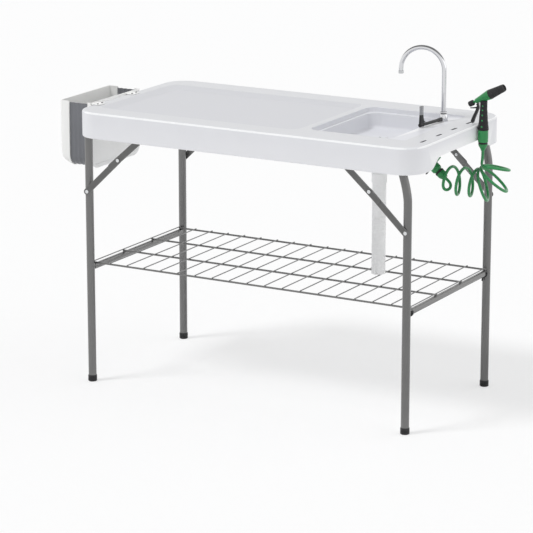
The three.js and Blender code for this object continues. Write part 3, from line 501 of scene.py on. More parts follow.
def carved(base, *steps):
    """Takes shapes away one after another, or adds one given as ("UNION", shape), and gives what is left"""
    target = link("carved", mesh_of("carved", base))
    for step in steps:
        operation, shape = step if step[0] == "UNION" else ("DIFFERENCE", step)
        tool = link("tool", mesh_of("tool", shape))
        change = target.modifiers.new("change", "BOOLEAN")
        change.operation = operation
        change.object = tool
        change.solver = "EXACT"
        mesh = bpy.data.meshes.new_from_object(target.evaluated_get(bpy.context.evaluated_depsgraph_get()))
        target.modifiers.clear()
        target.data = mesh
        bpy.data.objects.remove(tool)
    mesh = target.data
    bpy.data.objects.remove(target)
    return mesh


# Coil hose, on the same route as the source
HOSE = Sizes(radius=4.5, lead=12, swing=35, lift=40, length=1.602)
COIL = Sizes(radius=41.5, swell=11, inner=17, pitch=41.5, height=743.5, bearing=5, rise=12)
TURNS = Sizes(start=0.5, bend=2.7, calm=5.2, upright=5.45, end=5.5, steps=24)
GUN = Sizes(x=601, y=112, rear_x=575, rear_z=932, tilt=28.5)
INLET = Sizes(x=446, y=93, z=727, down=39)
inlet_way = Vector((cos(radians(INLET.down)), 0, -sin(radians(INLET.down))))
inlet_place = Vector((INLET.x, INLET.y, INLET.z))
connector_end = 54.6
collar_top = 847.3 - GAP
ring_top = collar_top - 35.7 - GAP
cone_top = ring_top - 5.4 - GAP
tail_top = cone_top - 20
bearing = radians(COIL.bearing)
ahead = Vector((cos(bearing), sin(bearing), 0))
forward = Vector((sin(bearing), -cos(bearing), 0))
upward = Vector((0, 0, 1))
bend_centre = Vector((GUN.x, GUN.y, COIL.height)) - ahead * COIL.inner


def coil_point(turn):
    lean = min(max((turn - TURNS.bend) / (TURNS.upright - TURNS.bend), 0), 1) * pi / 2
    swollen = min(max((turn - TURNS.bend) / (TURNS.calm - TURNS.bend), 0), 1)
    reach = COIL.radius + COIL.swell * sin(swollen * pi)
    outward = ahead * sin(lean) - upward * cos(lean)
    centre = bend_centre + outward * (COIL.inner + reach)
    if turn < TURNS.bend:
        centre += ahead * (turn - TURNS.bend) * COIL.pitch
    if turn > TURNS.upright:
        centre += upward * (turn - TURNS.upright) * COIL.rise
    angle = 2 * pi * turn
    centre -= forward * reach * cos(angle)
    return centre + outward * reach * sin(angle)


def coil_heading(turn):
    small = 1 / (4 * TURNS.steps)
    return (coil_point(turn + small) - coil_point(turn - small)).normalized()


def lead_points(start, way, end, end_way):
    straight = start + way * HOSE.lead
    pull = straight + way * HOSE.swing
    push = end - end_way * HOSE.lift
    fine = [bezier(straight, pull, push, end, share) for share in shares(200)]
    lengths = [0.0]
    for a, b in zip(fine, fine[1:]):
        lengths.append(lengths[-1] + (b - a).length)
    spaced = []
    for share in shares(7):
        wanted = lengths[-1] * share
        spaced.append(min(zip(lengths, fine), key=lambda pair: abs(pair[0] - wanted))[1])
    return [start, start.lerp(straight, 0.5), *spaced]


def hose_route():
    route = lead_points(inlet_place + inlet_way * (connector_end + GAP), inlet_way,
                        coil_point(TURNS.start), coil_heading(TURNS.start))
    steps = round((TURNS.end - TURNS.start) * TURNS.steps)
    route += [coil_point(TURNS.start + share * (TURNS.end - TURNS.start)) for share in shares(steps)[1:-1]]
    tail = Vector((GUN.x, GUN.y, tail_top - GAP))
    route += reversed(lead_points(tail, -upward, coil_point(TURNS.end), -coil_heading(TURNS.end)))
    return route


def coil_hose():
    route = hose_route()
    curve = bpy.data.curves.new("spray_hose", "CURVE")
    curve.dimensions = "3D"
    curve.bevel_depth = HOSE.radius * MM
    curve.bevel_resolution = 6
    curve.use_fill_caps = True
    fine = spline(route, 3)
    line = curve.splines.new("POLY")
    line.points.add(len(fine) - 1)
    for point, place in zip(line.points, fine):
        point.co = (*at(*place), 1)
    line.use_smooth = True
    curve.materials.append(looks["green_hose"])
    thing = link("spray_hose", curve)
    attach(thing, "table")
    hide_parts("coil_hose")


coil_hose()


# Table top
TOP = Sizes(length=1168, width=610, height=862, rim=81, corner=75, inner=55, wall=8, panel=28.5)
HALF = TOP.length / 2
SIDE = TOP.width / 2
RIM_BOTTOM = TOP.height - TOP.rim
UNDERSIDE = TOP.height - TOP.panel
TRAY = (-511, 140, -188, 188)
TRAY_SLOPE = (39, 10, 37, 37)
SINK = (173, 440, -195, 208)
LEDGE = (432, 497, -200, 215)
SLOT = Sizes(x=548, half=3.8, reach=18.8, corner=3.6)
SLOTS = (-184, -81, 22, 125)
DRAIN = (300, 26)
FAUCET = (459, 134)


def between(a, b, share):
    return tuple(u + (v - u) * share for u, v in zip(a, b))


def top_slab():
    outline = (-HALF, HALF, -SIDE, SIDE)
    foot = foot_of(outline, TOP.corner, 14, RIM_BOTTOM, 3, 3)
    return loft([*foot, *head_of(outline, TOP.corner, 14, TOP.height, 6.5, 7)])


def tray_cutter():
    left, right, front, back = TRAY
    rim = (left - TRAY_SLOPE[0], right + TRAY_SLOPE[1], front - TRAY_SLOPE[2], back + TRAY_SLOPE[3])
    rings = []
    for share in shares(12):
        rise = 0.55 * share + 0.45 * share * share * (3 - 2 * share)
        rings.append(level(rounded(between(TRAY, rim, share), 22 + 14 * share, 6), TOP.height - 10 + rise * 9.98))
    rings.append(level(rounded(rim, 36, 6), TOP.height + 8))
    return loft(rings)


def sink_cutter():
    steps = 8
    ledge_outer = grown(SINK, -2)
    ledge_inner = grown(ledge_outer, -9)
    floor = grown(ledge_inner, -8)
    radius = 34
    drain_z, floor_z, ledge_z = 797.2, 800, 845

    def drain_ring(r):
        """A circle with its points spread like those of a rounded box"""
        spots = [corner + (j + 0.5) / (steps + 1) for corner in range(4) for j in range(steps + 1)]
        turns = [radians(90 * (spot - 1)) for spot in spots]
        return [(DRAIN[0] + r * cos(a), DRAIN[1] + r * sin(a)) for a in turns]

    rings = [level(drain_ring(r), z) for r, z in ((23.5, 770), (23.5, 796.6), (30, 796.6), (31, drain_z))]
    wide = rounded(grown(floor, -10), radius - 10, steps)
    for share in (0.25, 0.5, 0.75, 0.92):
        ring = [between(a, b, share) for a, b in zip(drain_ring(31), wide)]
        rings.append(level(ring, drain_z + 2.6 * share))
    fillet = 10
    wall_run = 8 / 47
    for s, c in quarter(5):
        inset = fillet * (1 - s)
        up = fillet * (1 - c)
        rings.append(ring_of(floor, up * wall_run - inset, radius - inset * 0.5, steps, floor_z + up))
    rings.append(ring_of(ledge_inner, -0.2, radius, steps, ledge_z))
    for s, c in quarter(3):
        rings.append(ring_of(ledge_inner, 1.8 * (1 - c), radius, steps, ledge_z + 0.2 + 1.8 * s))
    for by, up in ((-1.5, 2.1), (-0.3, 3), (0.2, 4.5)):
        rings.append(ring_of(ledge_outer, by, radius, steps, ledge_z + up))
    for s, c in quarter(4):
        out = 2.5 * (1 - c)
        rings.append(ring_of(SINK, out - 0.4, radius + out, steps, 859.4 + 2.58 * s))
    rings.append(ring_of(SINK, 2.1, radius + 2.5, steps, 875))
    return loft(rings)


def recess(box, corner, bottom, lip, foot, steps=6):
    """A pocket cut from above with a rounded lip and a rounded foot"""
    rings = foot_of(box, corner, steps, bottom, foot, 3)
    for s, c in quarter(4):
        out = lip * (1 - c)
        rings.append(ring_of(box, out, corner + out, steps, TOP.height - lip + (lip - 0.02) * s))
    rings.append(ring_of(box, lip, corner + lip, steps, TOP.height + 12))
    return loft(rings)


def arch_cutter(side):
    top, shoulder, foot = 34, 130, 215
    swing = (foot - shoulder) / 2
    ends = ((-foot, 0), (-foot + swing, 0), (-shoulder - swing, top), (-shoulder, top))
    ends = [(y, RIM_BOTTOM + z) for y, z in ends]
    outline = [(-foot, RIM_BOTTOM - 20)]
    outline += [tuple(bezier(*axis, share) for axis in zip(*ends)) for share in shares(16)]
    outline += [(-y, z) for y, z in reversed(outline)]
    low, high = sorted((side * (HALF - TOP.wall - 20), side * (HALF + 20)))
    return loft([across(low, outline), across(high, outline)])


def tub():
    foot = foot_of(grown(SINK, -19), 38, 8, 793, 9, 4, by=4, follow=0.5)
    return loft([*foot, ring_of(SINK, -7, 38, 8, 850)])


def top_cavity():
    outline = grown((-HALF, HALF, -SIDE, SIDE), -TOP.wall)
    foot = level(rounded(outline, TOP.inner, 10), RIM_BOTTOM - 20)
    return loft([foot, *head_of(outline, TOP.inner, 10, UNDERSIDE, 5, 4)])


def table_top():
    """The moulded panel, with looks of its own for the tray, the rim's face, a painted highlight on the rim's
    rounded lip and painted shade on the slots' walls
    """
    steps = [top_cavity(), ("UNION", tub()), tray_cutter(), sink_cutter(), recess(LEDGE, 8, 856, 1.6, 2)]
    for y in SLOTS:
        box = (SLOT.x - SLOT.half, SLOT.x + SLOT.half, y - SLOT.reach, y + SLOT.reach)
        steps.append(recess(box, SLOT.corner, 820, 1.2, HAIR))
    steps.append(shifted(rod(7.4, 820, 860, 32, HAIR), *FAUCET))
    steps += [arch_cutter(-1), arch_cutter(1)]
    top = piece("top", carved(top_slab(), *steps), "top", "table_top", angle=32)
    paints = ("top", "tray", "rim", "lip", "slot_shade")
    for paint in paints[1:]:
        top.data.materials.append(looks[paint])
    low = at(TRAY[0] - 36, TRAY[2] - 34, TOP.height - 11)
    high = at(TRAY[1] + 8, TRAY[3] + 34, TOP.height - 0.4)
    crown = at(0, 0, TOP.height)[2]
    middle = at(0, 0, 0)[0]
    hole = at(SLOT.x - 5, 0, 0)[0]
    for face in top.data.polygons:
        spot = face.center
        outside = abs(spot.x - middle) > (HALF - 12) * MM or abs(spot.y) > (SIDE - 12) * MM
        beside = any(abs(spot.y - y * MM) < 19 * MM for y in SLOTS) and 0 < spot.x - hole < 10 * MM
        up = face.normal.z
        paint = "top"
        if up > 0.5 and all(a < c < b for a, b, c in zip(low, high, spot)):
            paint = "tray"
        elif up > 0.97 and spot.z > crown - 1 * MM:
            paint = "rim"
        # Painted highlight on the rounded outer edge of the rim
        elif up > 0.2 and spot.z > crown - 8 * MM and outside:
            paint = "lip"
        # Painted shade on the walls inside the slots
        elif beside and abs(up) < 0.3 and spot.z > crown - 40 * MM:
            paint = "slot_shade"
        face.material_index = paints.index(paint)


table_top()

# Folding frames
LEG = Sizes(radius=12.5, x=546.5, y=275.5, top=820)
PIVOT = Sizes(z=818, inset=30, bend=690)
RAIL = Sizes(radius=9.5, z=366)
LEG_OUTER = LEG.y + LEG.radius
LEG_INNER = LEG.y - LEG.radius
ENDS = (("left", -1), ("right", 1))
FACES = (("front", -1), ("rear", 1))


def leg_path(side):
    if side < 0:
        return [(0, 0, 3.3), (0, 0, LEG.top)]
    start, end = PIVOT.bend, PIVOT.z
    rise = end - start
    points = [(0, 0, z) for z in (3.3, start / 2, start - rise / 2)]
    bend = ((0, 0), (0.03, 0.15), (0.22, 0.4), (0.6, 0.72), (1, 1))
    points += [(-x * PIVOT.inset, 0, start + z * rise) for x, z in bend]
    points.append((-PIVOT.inset, 0, LEG.top))
    return spline(points, 6)


def foot_cap():
    outer = [(0, 0), (12.2, 0), (14, 1.8), (14, 17.2), (13.6, 19.2), (12.9, 20)]
    rib = []
    for radius, z in outer:
        rib.append((radius, z))
        if (radius, z) == (14, 1.8):
            for low in (5, 8, 11):
                rib += [(14, low), (13.5, low + 0.4), (13.5, low + 1), (14, low + 1.4)]
    return lathe([*rib, (12.8, 19.6), (12.8, 3), (0, 3)], 40)


def cross_tube(x, z, radius, wall=1.2):
    """A tube between the two legs of a frame"""
    reach = LEG_INNER - GAP
    length = 2 * reach
    inner = radius - wall
    slim = radius - 0.3
    profile = [(radius, 0.3), (radius, length - 0.3), (slim, length), (inner, length), (inner, 0), (slim, 0)]
    return aimed(lathe(profile, 40, closed=True), (x, -reach, z), (0, length, 0), (0, 0, 1))


def pivot_x(side):
    return side * LEG.x - (PIVOT.inset if side > 0 else 0)


for end, side in ENDS:
    body = f"{end}_frame"
    for face, out in FACES:
        place = (side * LEG.x, out * LEG.y)
        leg = shifted(sweep(leg_path(side), LEG.radius), *place)
        piece(f"{end}_leg_tube_{face}", leg, "frame", f"{end}_leg_{face}", body)
        piece(f"{end}_foot_{face}", shifted(foot_cap(), *place), "black", f"{end}_foot_cap_{face}", body)
    bar = cross_tube(pivot_x(side), PIVOT.z, LEG.radius)
    piece(f"{end}_hinge_bar", bar, "frame", f"{end}_pivot_bar", body)
    rail = cross_tube(side * LEG.x, RAIL.z, RAIL.radius)
    piece(f"{end}_rail_tube", rail, "frame", f"{end}_shelf_rail", body)


# Saddles round the hinge bars, with two pockets below
def saddle(x, low_y):
    place = (x, low_y + 30, PIVOT.z)
    solid = block((-20, 20, -18, 15.2), 4, 0, 30, 1.2)
    cuts = [rod(12.9, -5, 35, 40, HAIR)]
    cuts += [block((-15, 15, -20, -15.5), 1, low, high, 0.4) for low, high in ((4, 13.5), (16.5, 26))]
    return carved(*[shifted(along_y(shape), *place) for shape in (solid, *cuts)])


for end, side in ENDS:
    for face, out in FACES:
        shape = saddle(pivot_x(side), 225 if out > 0 else -255)
        piece(f"{end}_saddle_{face}", shape, "black", f"{end}_pivot_bracket_{face}")

# Braces: pressed links with a sunk middle, riveted together
LINK = Sizes(half=10, thick=2, rivet=6, hub=5, overlap=44)
BRACE = Sizes(foot_z=610, knee_x=430, knee_z=721, head_x=325, head_z=813)


def layer(number):
    return LEG_OUTER + 2 + number * (LINK.thick + GAP)


def flat(rings_xz, out):
    """Rings of (outline, distance from the table's middle) in the plane of the table's side"""
    return loft([[(x, out * y, z) for x, z in outline] for outline, y in rings_xz])


def link_shape(length, run, out, number):
    half = LINK.half
    inner = layer(number)
    outer = inner + LINK.thick
    box = (-half, length + run + half, -half, half)
    sunk = ((2.6, outer), (3.1, outer - 0.15), (3.8, outer - 0.75), (4.2, outer - 0.8))
    edge = ((0.5, inner), (0, inner + 0.4), (0, outer - 0.5), (0.15, outer - 0.15), (0.6, outer))
    return flat([(rounded(grown(box, -inset), half - 0.3 - inset, 8), y) for inset, y in edge + sunk], out)


def rivet_shape(x, out, inner, outer, radius):
    head = [(0, inner), (radius * 0.72, inner), (radius * 0.72, outer - 0.9), (radius * 0.94, outer - 0.85)]
    head += [(radius * cos(a), outer - 0.75 + 0.7 * sin(a)) for a in (0.35, 0.7, 1.05, 1.4)]
    return mapped(lathe([*head, (0, outer - 0.04)], 24), lambda px, py, pz: (px + x, out * pz, py))


def turned_to(shape, foot, run):
    angle = atan2(run[1], run[0])
    c, s = cos(angle), sin(angle)
    return mapped(shape, lambda x, y, z: (foot[0] + x * c - z * s, y, foot[1] + x * s + z * c))


def plate_shape(out):
    inner = layer(2)
    outer = inner + LINK.thick
    box = (-18, 18, -16, 20.2)
    edge = ((0.4, inner), (0, inner + 0.4), (0, outer - 0.4), (0.4, outer))
    rings = [(rounded(grown(box, -inset), 5 - inset, 5), y) for inset, y in edge]
    hole = flat([(circle(5.4, 32), y) for y in (inner - 3, outer + 3)], out)
    return flat(rings, out), hole


for end, side in ENDS:
    foot = (side * LEG.x, BRACE.foot_z)
    knee = (side * BRACE.knee_x, BRACE.knee_z)
    head = (side * BRACE.head_x, BRACE.head_z)
    arms = (
        ("lower", foot, 0, ((0, LEG_OUTER + GAP, LINK.rivet), (1, LEG_OUTER + GAP, LINK.rivet))),
        ("upper", head, LINK.overlap - LINK.half, ((0, layer(1), LINK.hub), (1, layer(1) + 0.2, LINK.rivet))),
    )
    for face, out in FACES:
        for number, (part, base, over, pins) in enumerate(arms):
            run = (knee[0] - base[0], knee[1] - base[1])
            length = hypot(*run)
            arm = turned_to(link_shape(length, over, out, number), base, run)
            piece(f"{end}_link_{part}_{face}", arm, "link", f"{end}_brace_{part}_{face}", f"{end}_brace_{part}", 30)
            rivets = [rivet_shape(x * length, out, low, layer(2 * number) + 2, radius) for x, low, radius in pins]
            rivets = turned_to(joined(*rivets), base, run)
            piece(f"{end}_rivets_{part}_{face}", rivets, "zinc", body=f"{end}_brace_{part}")
        mesh = carved(*[shifted(shape, head[0], 0, head[1]) for shape in plate_shape(out)])
        piece(f"{end}_head_plate_{face}", mesh, "black_steel", f"{end}_brace_plate_{face}")

# Wire rack
RACK = Sizes(rod=3, wire=1.75, left=-549, right=553, outer=256, wires=19, rods=4)
ROD_Z = RAIL.z + RAIL.radius + 0.5 + RACK.rod
WIRE_Z = ROD_Z + RACK.rod + RACK.wire - 0.3


def wire_rack():
    shapes = []
    length = RACK.right - RACK.left
    rows = [-RACK.outer + i * 2 * RACK.outer / (RACK.rods - 1) for i in range(RACK.rods)]
    for y in rows:
        shapes.append(shifted(along_x(rod(RACK.rod, 0, length, 16, 1.2)), RACK.left, y, ROD_Z))
    span = 2 * (RACK.outer + RACK.rod)
    weld = lathe([(0, -1.5), (1.6, -1.5), (2.1, -0.4), (1.9, 0.5), (0, 0.9)], 10)
    for i in range(RACK.wires):
        x = RACK.left + RACK.rod + i * (length - 2 * RACK.rod) / (RACK.wires - 1)
        shapes.append(shifted(along_y(rod(RACK.wire, 0, span, 12, 0.7)), x, span / 2, WIRE_Z))
        shapes += [shifted(weld, x, y, ROD_Z + RACK.rod + 0.3) for y in rows]
    piece("rack_grid", joined(*shapes), "frame", "wire_rack", "rack")


wire_rack()


# Hook clips on the right rail
def clip_shape(y):
    inner = RAIL.radius + GAP
    middle = inner + 1.5
    path = []
    for share in shares(14):
        angle = radians(40 - 140 * share)
        path.append((middle * cos(angle), 0, middle * sin(angle)))
    path += [(-4, 0, -middle - 4.5), (-4.5, 0, -middle - 12)]
    section = rounded((-1.5, 1.5, -4, 4), 0.9, 3)
    strap = sweep(spline(path, 3), [section] * (3 * (len(path) - 1) + 1))
    return shifted(strap, LEG.x, y, RAIL.z)


for face, out in FACES:
    piece(f"rack_hook_{face}", clip_shape(out * RACK.outer), "black", f"rack_clip_{face}", "right_frame")

# Faucet
SEAT = 856 + GAP
DOME_TOP = SEAT + 25
SPOUT_FOOT = DOME_TOP + GAP
ARC_Z = SPOUT_FOOT + 127
ARC_RADIUS = 68
spout_way = Vector((-cos(radians(8)), -sin(radians(8)), 0))
spout_tip = spout_way * 2 * ARC_RADIUS


def faucet_base():
    profile = [(0, 800), (6.2, 800), (7, 801)]
    z = 804.0
    while z < 850:
        profile += [(7, z), (6.6, z + 0.75)]
        z += 1.5
    profile += [(7, 852), (7, SEAT), (13.1, SEAT), (13.5, SEAT + 0.5), (13.5, SEAT + 3.2), (12.9, SEAT + 3.9)]
    profile += [(7.5 + 5.3 * c, SEAT + 4.2 + 20.6 * s) for s, c in quarter(8)]
    profile += [(7.2, DOME_TOP), (0, DOME_TOP)]
    return lathe(profile, 48)


def spout_tube():
    points = [Vector((0, 0, SPOUT_FOOT + 2.5)), Vector((0, 0, (SPOUT_FOOT + ARC_Z) / 2))]
    for share in shares(16):
        angle = pi * share
        point = spout_way * ARC_RADIUS * (1 - cos(angle))
        point.z = ARC_Z + ARC_RADIUS * sin(angle)
        points.append(point)
    last = spout_tip.copy()
    last.z = ARC_Z - 6
    return sweep(spline([*points, last], 3), 7.15)


aerator = raised([
    (0, -3.5), (5.6, -3.5), (5.6, -8.7), (6.2, -9), (7.6, -9), (8, -8.6), (8, -2.2), (7.7, -1.9), (7.7, -1.5),
    (8, -1.2), (8, -0.4), (7.6, 0), (0, 0),
], ARC_Z - 6 - GAP)
collar = raised([(0, 0), (9.4, 0), (10, 0.6), (10, 3), (9.3, 4.2), (7.4, 5), (0, 5)], SPOUT_FOOT)
piece("faucet_dome", shifted(faucet_base(), *FAUCET), "chrome", "faucet_base")
piece("gooseneck", shifted(joined(spout_tube(), lathe(collar)), *FAUCET), "chrome", "faucet_spout", "spout")
piece("spout_tip", shifted(lathe(aerator, 40), FAUCET[0] + spout_tip.x, FAUCET[1] + spout_tip.y), "steel",
      "spout_aerator", "spout")


def wing_nut():
    """A moulded nut with six lobes"""
    top = UNDERSIDE - GAP
    rings = []
    for inset, z in ((1.2, top - 11), (0, top - 10), (0, top - 2.5), (0.6, top - 1.2), (1.0, top)):
        ring = []
        for a in angles(72):
            reach = 14.2 - inset + 1.6 * cos(6 * a)
            ring.append((reach * cos(a), reach * sin(a), z))
        rings.append(ring)
    rings += [level(circle(7.5, 72), z) for z in (top, top - 11)]
    return loft(rings, closed=True)


piece("lock_nut", shifted(wing_nut(), *FAUCET), "yellow", "faucet_nut")

# Valve arm and lever
ARM = Vector((-15, -120, 0))
arm_way = ARM.normalized()
ARM_Z = 864
BLADE_TOP = 31
arm_end = ARM.length - 8.5 - GAP
arm_profile = [(0, 13.9), (5.6, 13.9), (6, 14.3), (6, 22), (5.4, 23), (5.4, 25), (5.9, 26), (5.9, 29), (5.2, 30.5)]
station = 32.0
while station < arm_end - 6:
    arm_profile += [(5.1 - (station - 32) * 0.006, station), (4.75 - (station - 32) * 0.006, station + 0.9)]
    station += 3.0
arm_profile += [(4.5, arm_end - 4), (4.5, arm_end - 0.4), (4.1, arm_end), (0, arm_end)]
piece("valve_stem", aimed(lathe(arm_profile, 28), (*FAUCET, ARM_Z), arm_way, (0, 0, 1)), "black", "valve_arm")
sideways = upward.cross(arm_way)
lever_matrix = Matrix.Translation((FAUCET[0] + ARM.x, FAUCET[1] + ARM.y, ARM_Z)) @ Matrix(
    (sideways, upward, arm_way)).transposed().to_4x4()


def lever_part(low, sizes):
    """Sections one above another, each given as height, half width and reach to the back and the front"""
    rings = []
    for y, half, back, front in sizes:
        rings.append([(x, low + y, z) for x, z in rounded((-half, half, -back, front), 1.6, 4)])
    return loft(rings)


blade = lever_part(0, [
    (0, 3.9, 8.4, 8.4), (6.5, 3.95, 8.4, 8.4), (6.7, 3.7, 20, 8.4), (7.6, 3.95, 18, 8.4), (9, 3.95, 15, 8.3),
    (12, 3.9, 11.6, 8.1), (16, 3.85, 9.4, 7.8), (21, 3.8, 7.9, 7.4), (27, 3.7, 7.1, 7.0), (30.2, 3.6, 6.9, 6.9),
    (31, 3.2, 6.5, 6.5),
])
handle = lever_part(BLADE_TOP + GAP, [
    (0, 3.3, 6.2, 6.2), (0.8, 3.7, 6.6, 6.6), (8, 3.6, 6.4, 6.4), (18, 3.6, 6.5, 6.5), (24.6, 3.7, 6.7, 6.7),
    (25.6, 3.3, 6.4, 6.4), (26, 2.6, 5.8, 5.8),
])
hub = lathe(eased([(0, -8.5), (6, -8.5), (6, -5.5), (5.4, -5), (5.4, 5), (6, 5.5), (6, 8.5), (0, 8.5)], 0.6), 36)
piece("lever_foot", moved(joined(hub, blade), lever_matrix), "black", "tap_lever", "tap")
piece("lever_handle", moved(handle, lever_matrix), "clear", "lever_grip", "tap")
cap = block((-3.75, 3.75, -6.7, 6.7), 1.6, 0, 1.6, 0.5, 2, 4)
cap = mapped(cap, lambda x, y, z: (x, BLADE_TOP + GAP + 24.2 + z, y))
piece("lever_cap", moved(cap, lever_matrix), "black", body="tap")

# Drain: a flange, a pierced basket and its knob
FLANGE = 797 + GAP


def drain_basket():
    profile = raised([
        (0, -11.2), (16.4, -11.2), (17, -10.4), (17, -0.6), (17.6, 0), (27.8, 0), (28.5, 0.7), (28.3, 1.4),
        (27.2, 2), (22, 1.7), (18.5, 0.9), (16.2, -1), (15.8, -9.2), (15, -10), (0, -10),
    ], FLANGE)
    basket = lathe(profile, 64)
    holes = []
    for ring, count in ((12, 16), (8, 10)):
        holes += [shifted(rod(1.3, FLANGE - 14, FLANGE - 6, 12, HAIR), x, y) for x, y in circle(ring, count)]
    return carved(shifted(basket, *DRAIN), shifted(joined(*holes), *DRAIN))


piece("drain_basket", drain_basket(), "steel", "drain_strainer", "strainer", 30)
knob_profile = raised([
    (0, -10.3), (2, -10.3), (2, 6), (4.1, 7.2), (4.8, 9), (4.7, 11.4), (3.7, 13), (1.8, 13.4), (0, 13.4),
], FLANGE)
piece("drain_pull", shifted(lathe(knob_profile, 28), *DRAIN), "black", body="strainer")
gasket = [(22.9, 790.6), (32.5, 790.6), (33, 790.9), (33, 792.2), (32.5, 792.6), (22.9, 792.6)]
gasket = lathe(gasket, 64, closed=True)
piece("drain_washer", shifted(gasket, *DRAIN), "rubber", "drain_gasket")
nut = raised([
    (18, -18), (21, -18), (21.4, -17.5), (21.4, -9.3), (33.2, -9), (34, -8.2), (34, -1), (33.3, -0.2), (22.5, -0.1),
    (22.5, 6.9), (18, 6.9),
], 790)
nut = lathe(nut, 144, closed=True, flutes=(18, 1.6, 781.7, 789.1))
piece("drain_lock_nut", shifted(nut, *DRAIN), "white", "drain_nut")

# Drain hose: fine ribs, and a plain cuff near the top
HOSE_TOP = 771.7
HOSE_BOTTOM = 388.2
CUFF_TOP = HOSE_TOP - 71
CUFF_BOTTOM = CUFF_TOP - 28


def ribs(low, high, count):
    pitch = (high - low) / count
    rib = ((0.0, 20.7), (0.18, 20.75), (0.34, 21.15), (0.5, 21.4), (0.66, 21.4), (0.82, 21.15), (0.96, 20.75))
    return [(radius, low + (i + share) * pitch) for i in range(count) for share, radius in rib]


def drain_hose():
    profile = raised([(18, 0.4), (18.4, 0), (21.1, 0), (21.5, 0.5), (21.5, 4.5), (20.6, 5)], HOSE_BOTTOM)
    profile += ribs(HOSE_BOTTOM + 5.4, CUFF_BOTTOM - 0.6, 52)
    profile += raised([(20.6, -0.4), (23, 0), (23.5, 0.6), (23.4, 2.2), (23.1, 3)], CUFF_BOTTOM)
    profile += raised([(23.1, -3), (23.4, -2.2), (23.5, -0.6), (23, 0), (20.6, 0.4)], CUFF_TOP)
    profile += ribs(CUFF_TOP + 0.8, HOSE_TOP - 5.4, 12)
    profile += raised([(20.6, -5), (21.5, -4.5), (21.5, -0.5), (21.1, 0), (18, 0)], HOSE_TOP)
    return lathe(profile, 56, closed=True)


piece("ribbed_hose", shifted(drain_hose(), *DRAIN), "hose", "drain_hose", "hose", 60)

# Spray gun
GUN_PLACE = (GUN.x, GUN.y, 0)
tilt = radians(GUN.tilt)
barrel_way = Vector((cos(tilt), 0, sin(tilt)))
barrel_place = (GUN.rear_x, GUN.y, GUN.rear_z)


def on_barrel(shape):
    return aimed(shape, barrel_place, barrel_way)


body_profile = [
    (0, -7), (3.7, -7), (4, -6.6), (4, -0.3), (4.2, 0), (6.4, 0.1), (7, 0.7), (7.5, 3), (8.2, 8), (9.5, 16),
    (11.2, 26), (12.8, 35), (14.1, 43), (14.9, 48.5), (15, 50.6), (14.6, 51.2), (0, 51.2),
]
piece("gun_barrel", on_barrel(lathe(body_profile, 56)), "green", "gun_body")
nozzle_profile = [
    (0, 51.5), (14.4, 51.5), (15, 52.1), (15, 56), (14.5, 57), (14.4, 58), (14.2, 60), (13.9, 66), (13.2, 74),
    (12.6, 82), (12.1, 89), (12.1, 90), (12.2, 91), (12, 96), (11.5, 100), (11, 102.6), (10.2, 104.4), (8.6, 104.5),
    (8, 103.6), (7.6, 101), (6.4, 99.6), (5, 99), (5, 91), (0, 90.6),
]
nozzle = lathe(nozzle_profile, 160, flutes=(20, 0.9, 59, 89.5))
piece("gun_nozzle_ribbed", on_barrel(nozzle), "black", "gun_nozzle", "nozzle")
flow_profile = [(0, -24.3), (6.8, -24.3), (8, -23.2), (8.5, -22), (8.5, -10), (8.1, -8.4), (7, -7.4), (0, -7.3)]
knob = lathe(eased(flow_profile, 0.6), 120, flutes=(12, 1.1, -23.5, -9))
piece("gun_knob_ribbed", on_barrel(knob), "black", "gun_flow_knob", "flow_knob")


def grip_radius(z):
    stations = (
        (847.3, 15.6), (849, 16.4), (854, 16.2), (862, 15.2), (872, 14.0), (882, 13.1), (895, 12.3), (908, 11.5),
        (918, 11.0), (926, 10.9), (937, 11),
    )
    for (z0, r0), (z1, r1) in zip(stations, stations[1:]):
        if z <= z1:
            return r0 + (r1 - r0) * max(0, z - z0) / (z1 - z0)
    return stations[-1][1]


def grip_shape():
    rings = []
    z = 847.3
    while z < 937:
        reach = grip_radius(z)
        ring = []
        for a in angles(64):
            front = max(0.0, cos(a)) ** 3
            wave = 0.7 * front * (0.5 - 0.5 * cos((z - 856) / 62 * 8 * pi)) if 856 < z < 918 else 0
            ring.append(((reach - wave) * cos(a), (reach * 0.96) * sin(a), z))
        rings.append(ring)
        z += 1.5 if z > 849 else 0.6
    rings.append(level(circle(11, 64, 10.5), 937))
    barrel = [
        (0, -7.3), (4.3, -7.3), (4.3, -0.3), *[(r + 0.3, z) for r, z in body_profile[6:-2]], (15.3, 52), (0, 52),
    ]
    return carved(shifted(loft(rings), *GUN_PLACE), on_barrel(lathe(barrel)))


piece("gun_handle", grip_shape(), "grip", "gun_grip")
studs = []
for z, size in ((859, 3.1), (877.5, 2.9), (893.5, 2.8), (908.6, 2.6), (921.5, 2.4)):
    for out in (-1, 1):
        stud = lathe([(0, -1.2), (size, -1.2), (size, 0.1), (size * 0.7, 0.45), (0, 0.6)], 20)
        place = (GUN.x + 1, GUN.y + out * (grip_radius(z) * 0.96 - 0.3), z)
        studs.append(aimed(stud, place, (0, out, 0), (0, 0, 1)))
piece("gun_handle_studs", joined(*studs), "green")
collar_low = collar_top - 35.7
collar = raised([(0, 0), (14.4, 0), (15.3, 0.9), (15.3, 7), (14.9, 7.6), (14.9, 8.4), (15.3, 9)], collar_low)
collar += raised([(15.3, -9), (14.9, -8.4), (14.9, -7.6), (15.3, -7), (15.3, -1), (14.5, 0), (0, 0)], collar_top)
collar = lathe(collar, 144, flutes=(24, 0.5, collar_low + 9, collar_top - 9))
piece("gun_coupling", shifted(collar, *GUN_PLACE), "green", "gun_collar")
seal = lathe(raised([(0, -5.4), (13.3, -5.4), (14, -4.6), (14, -0.8), (13.3, 0), (0, 0)], ring_top), 56)
piece("gun_seal", shifted(seal, *GUN_PLACE), "rubber", "gun_ring")
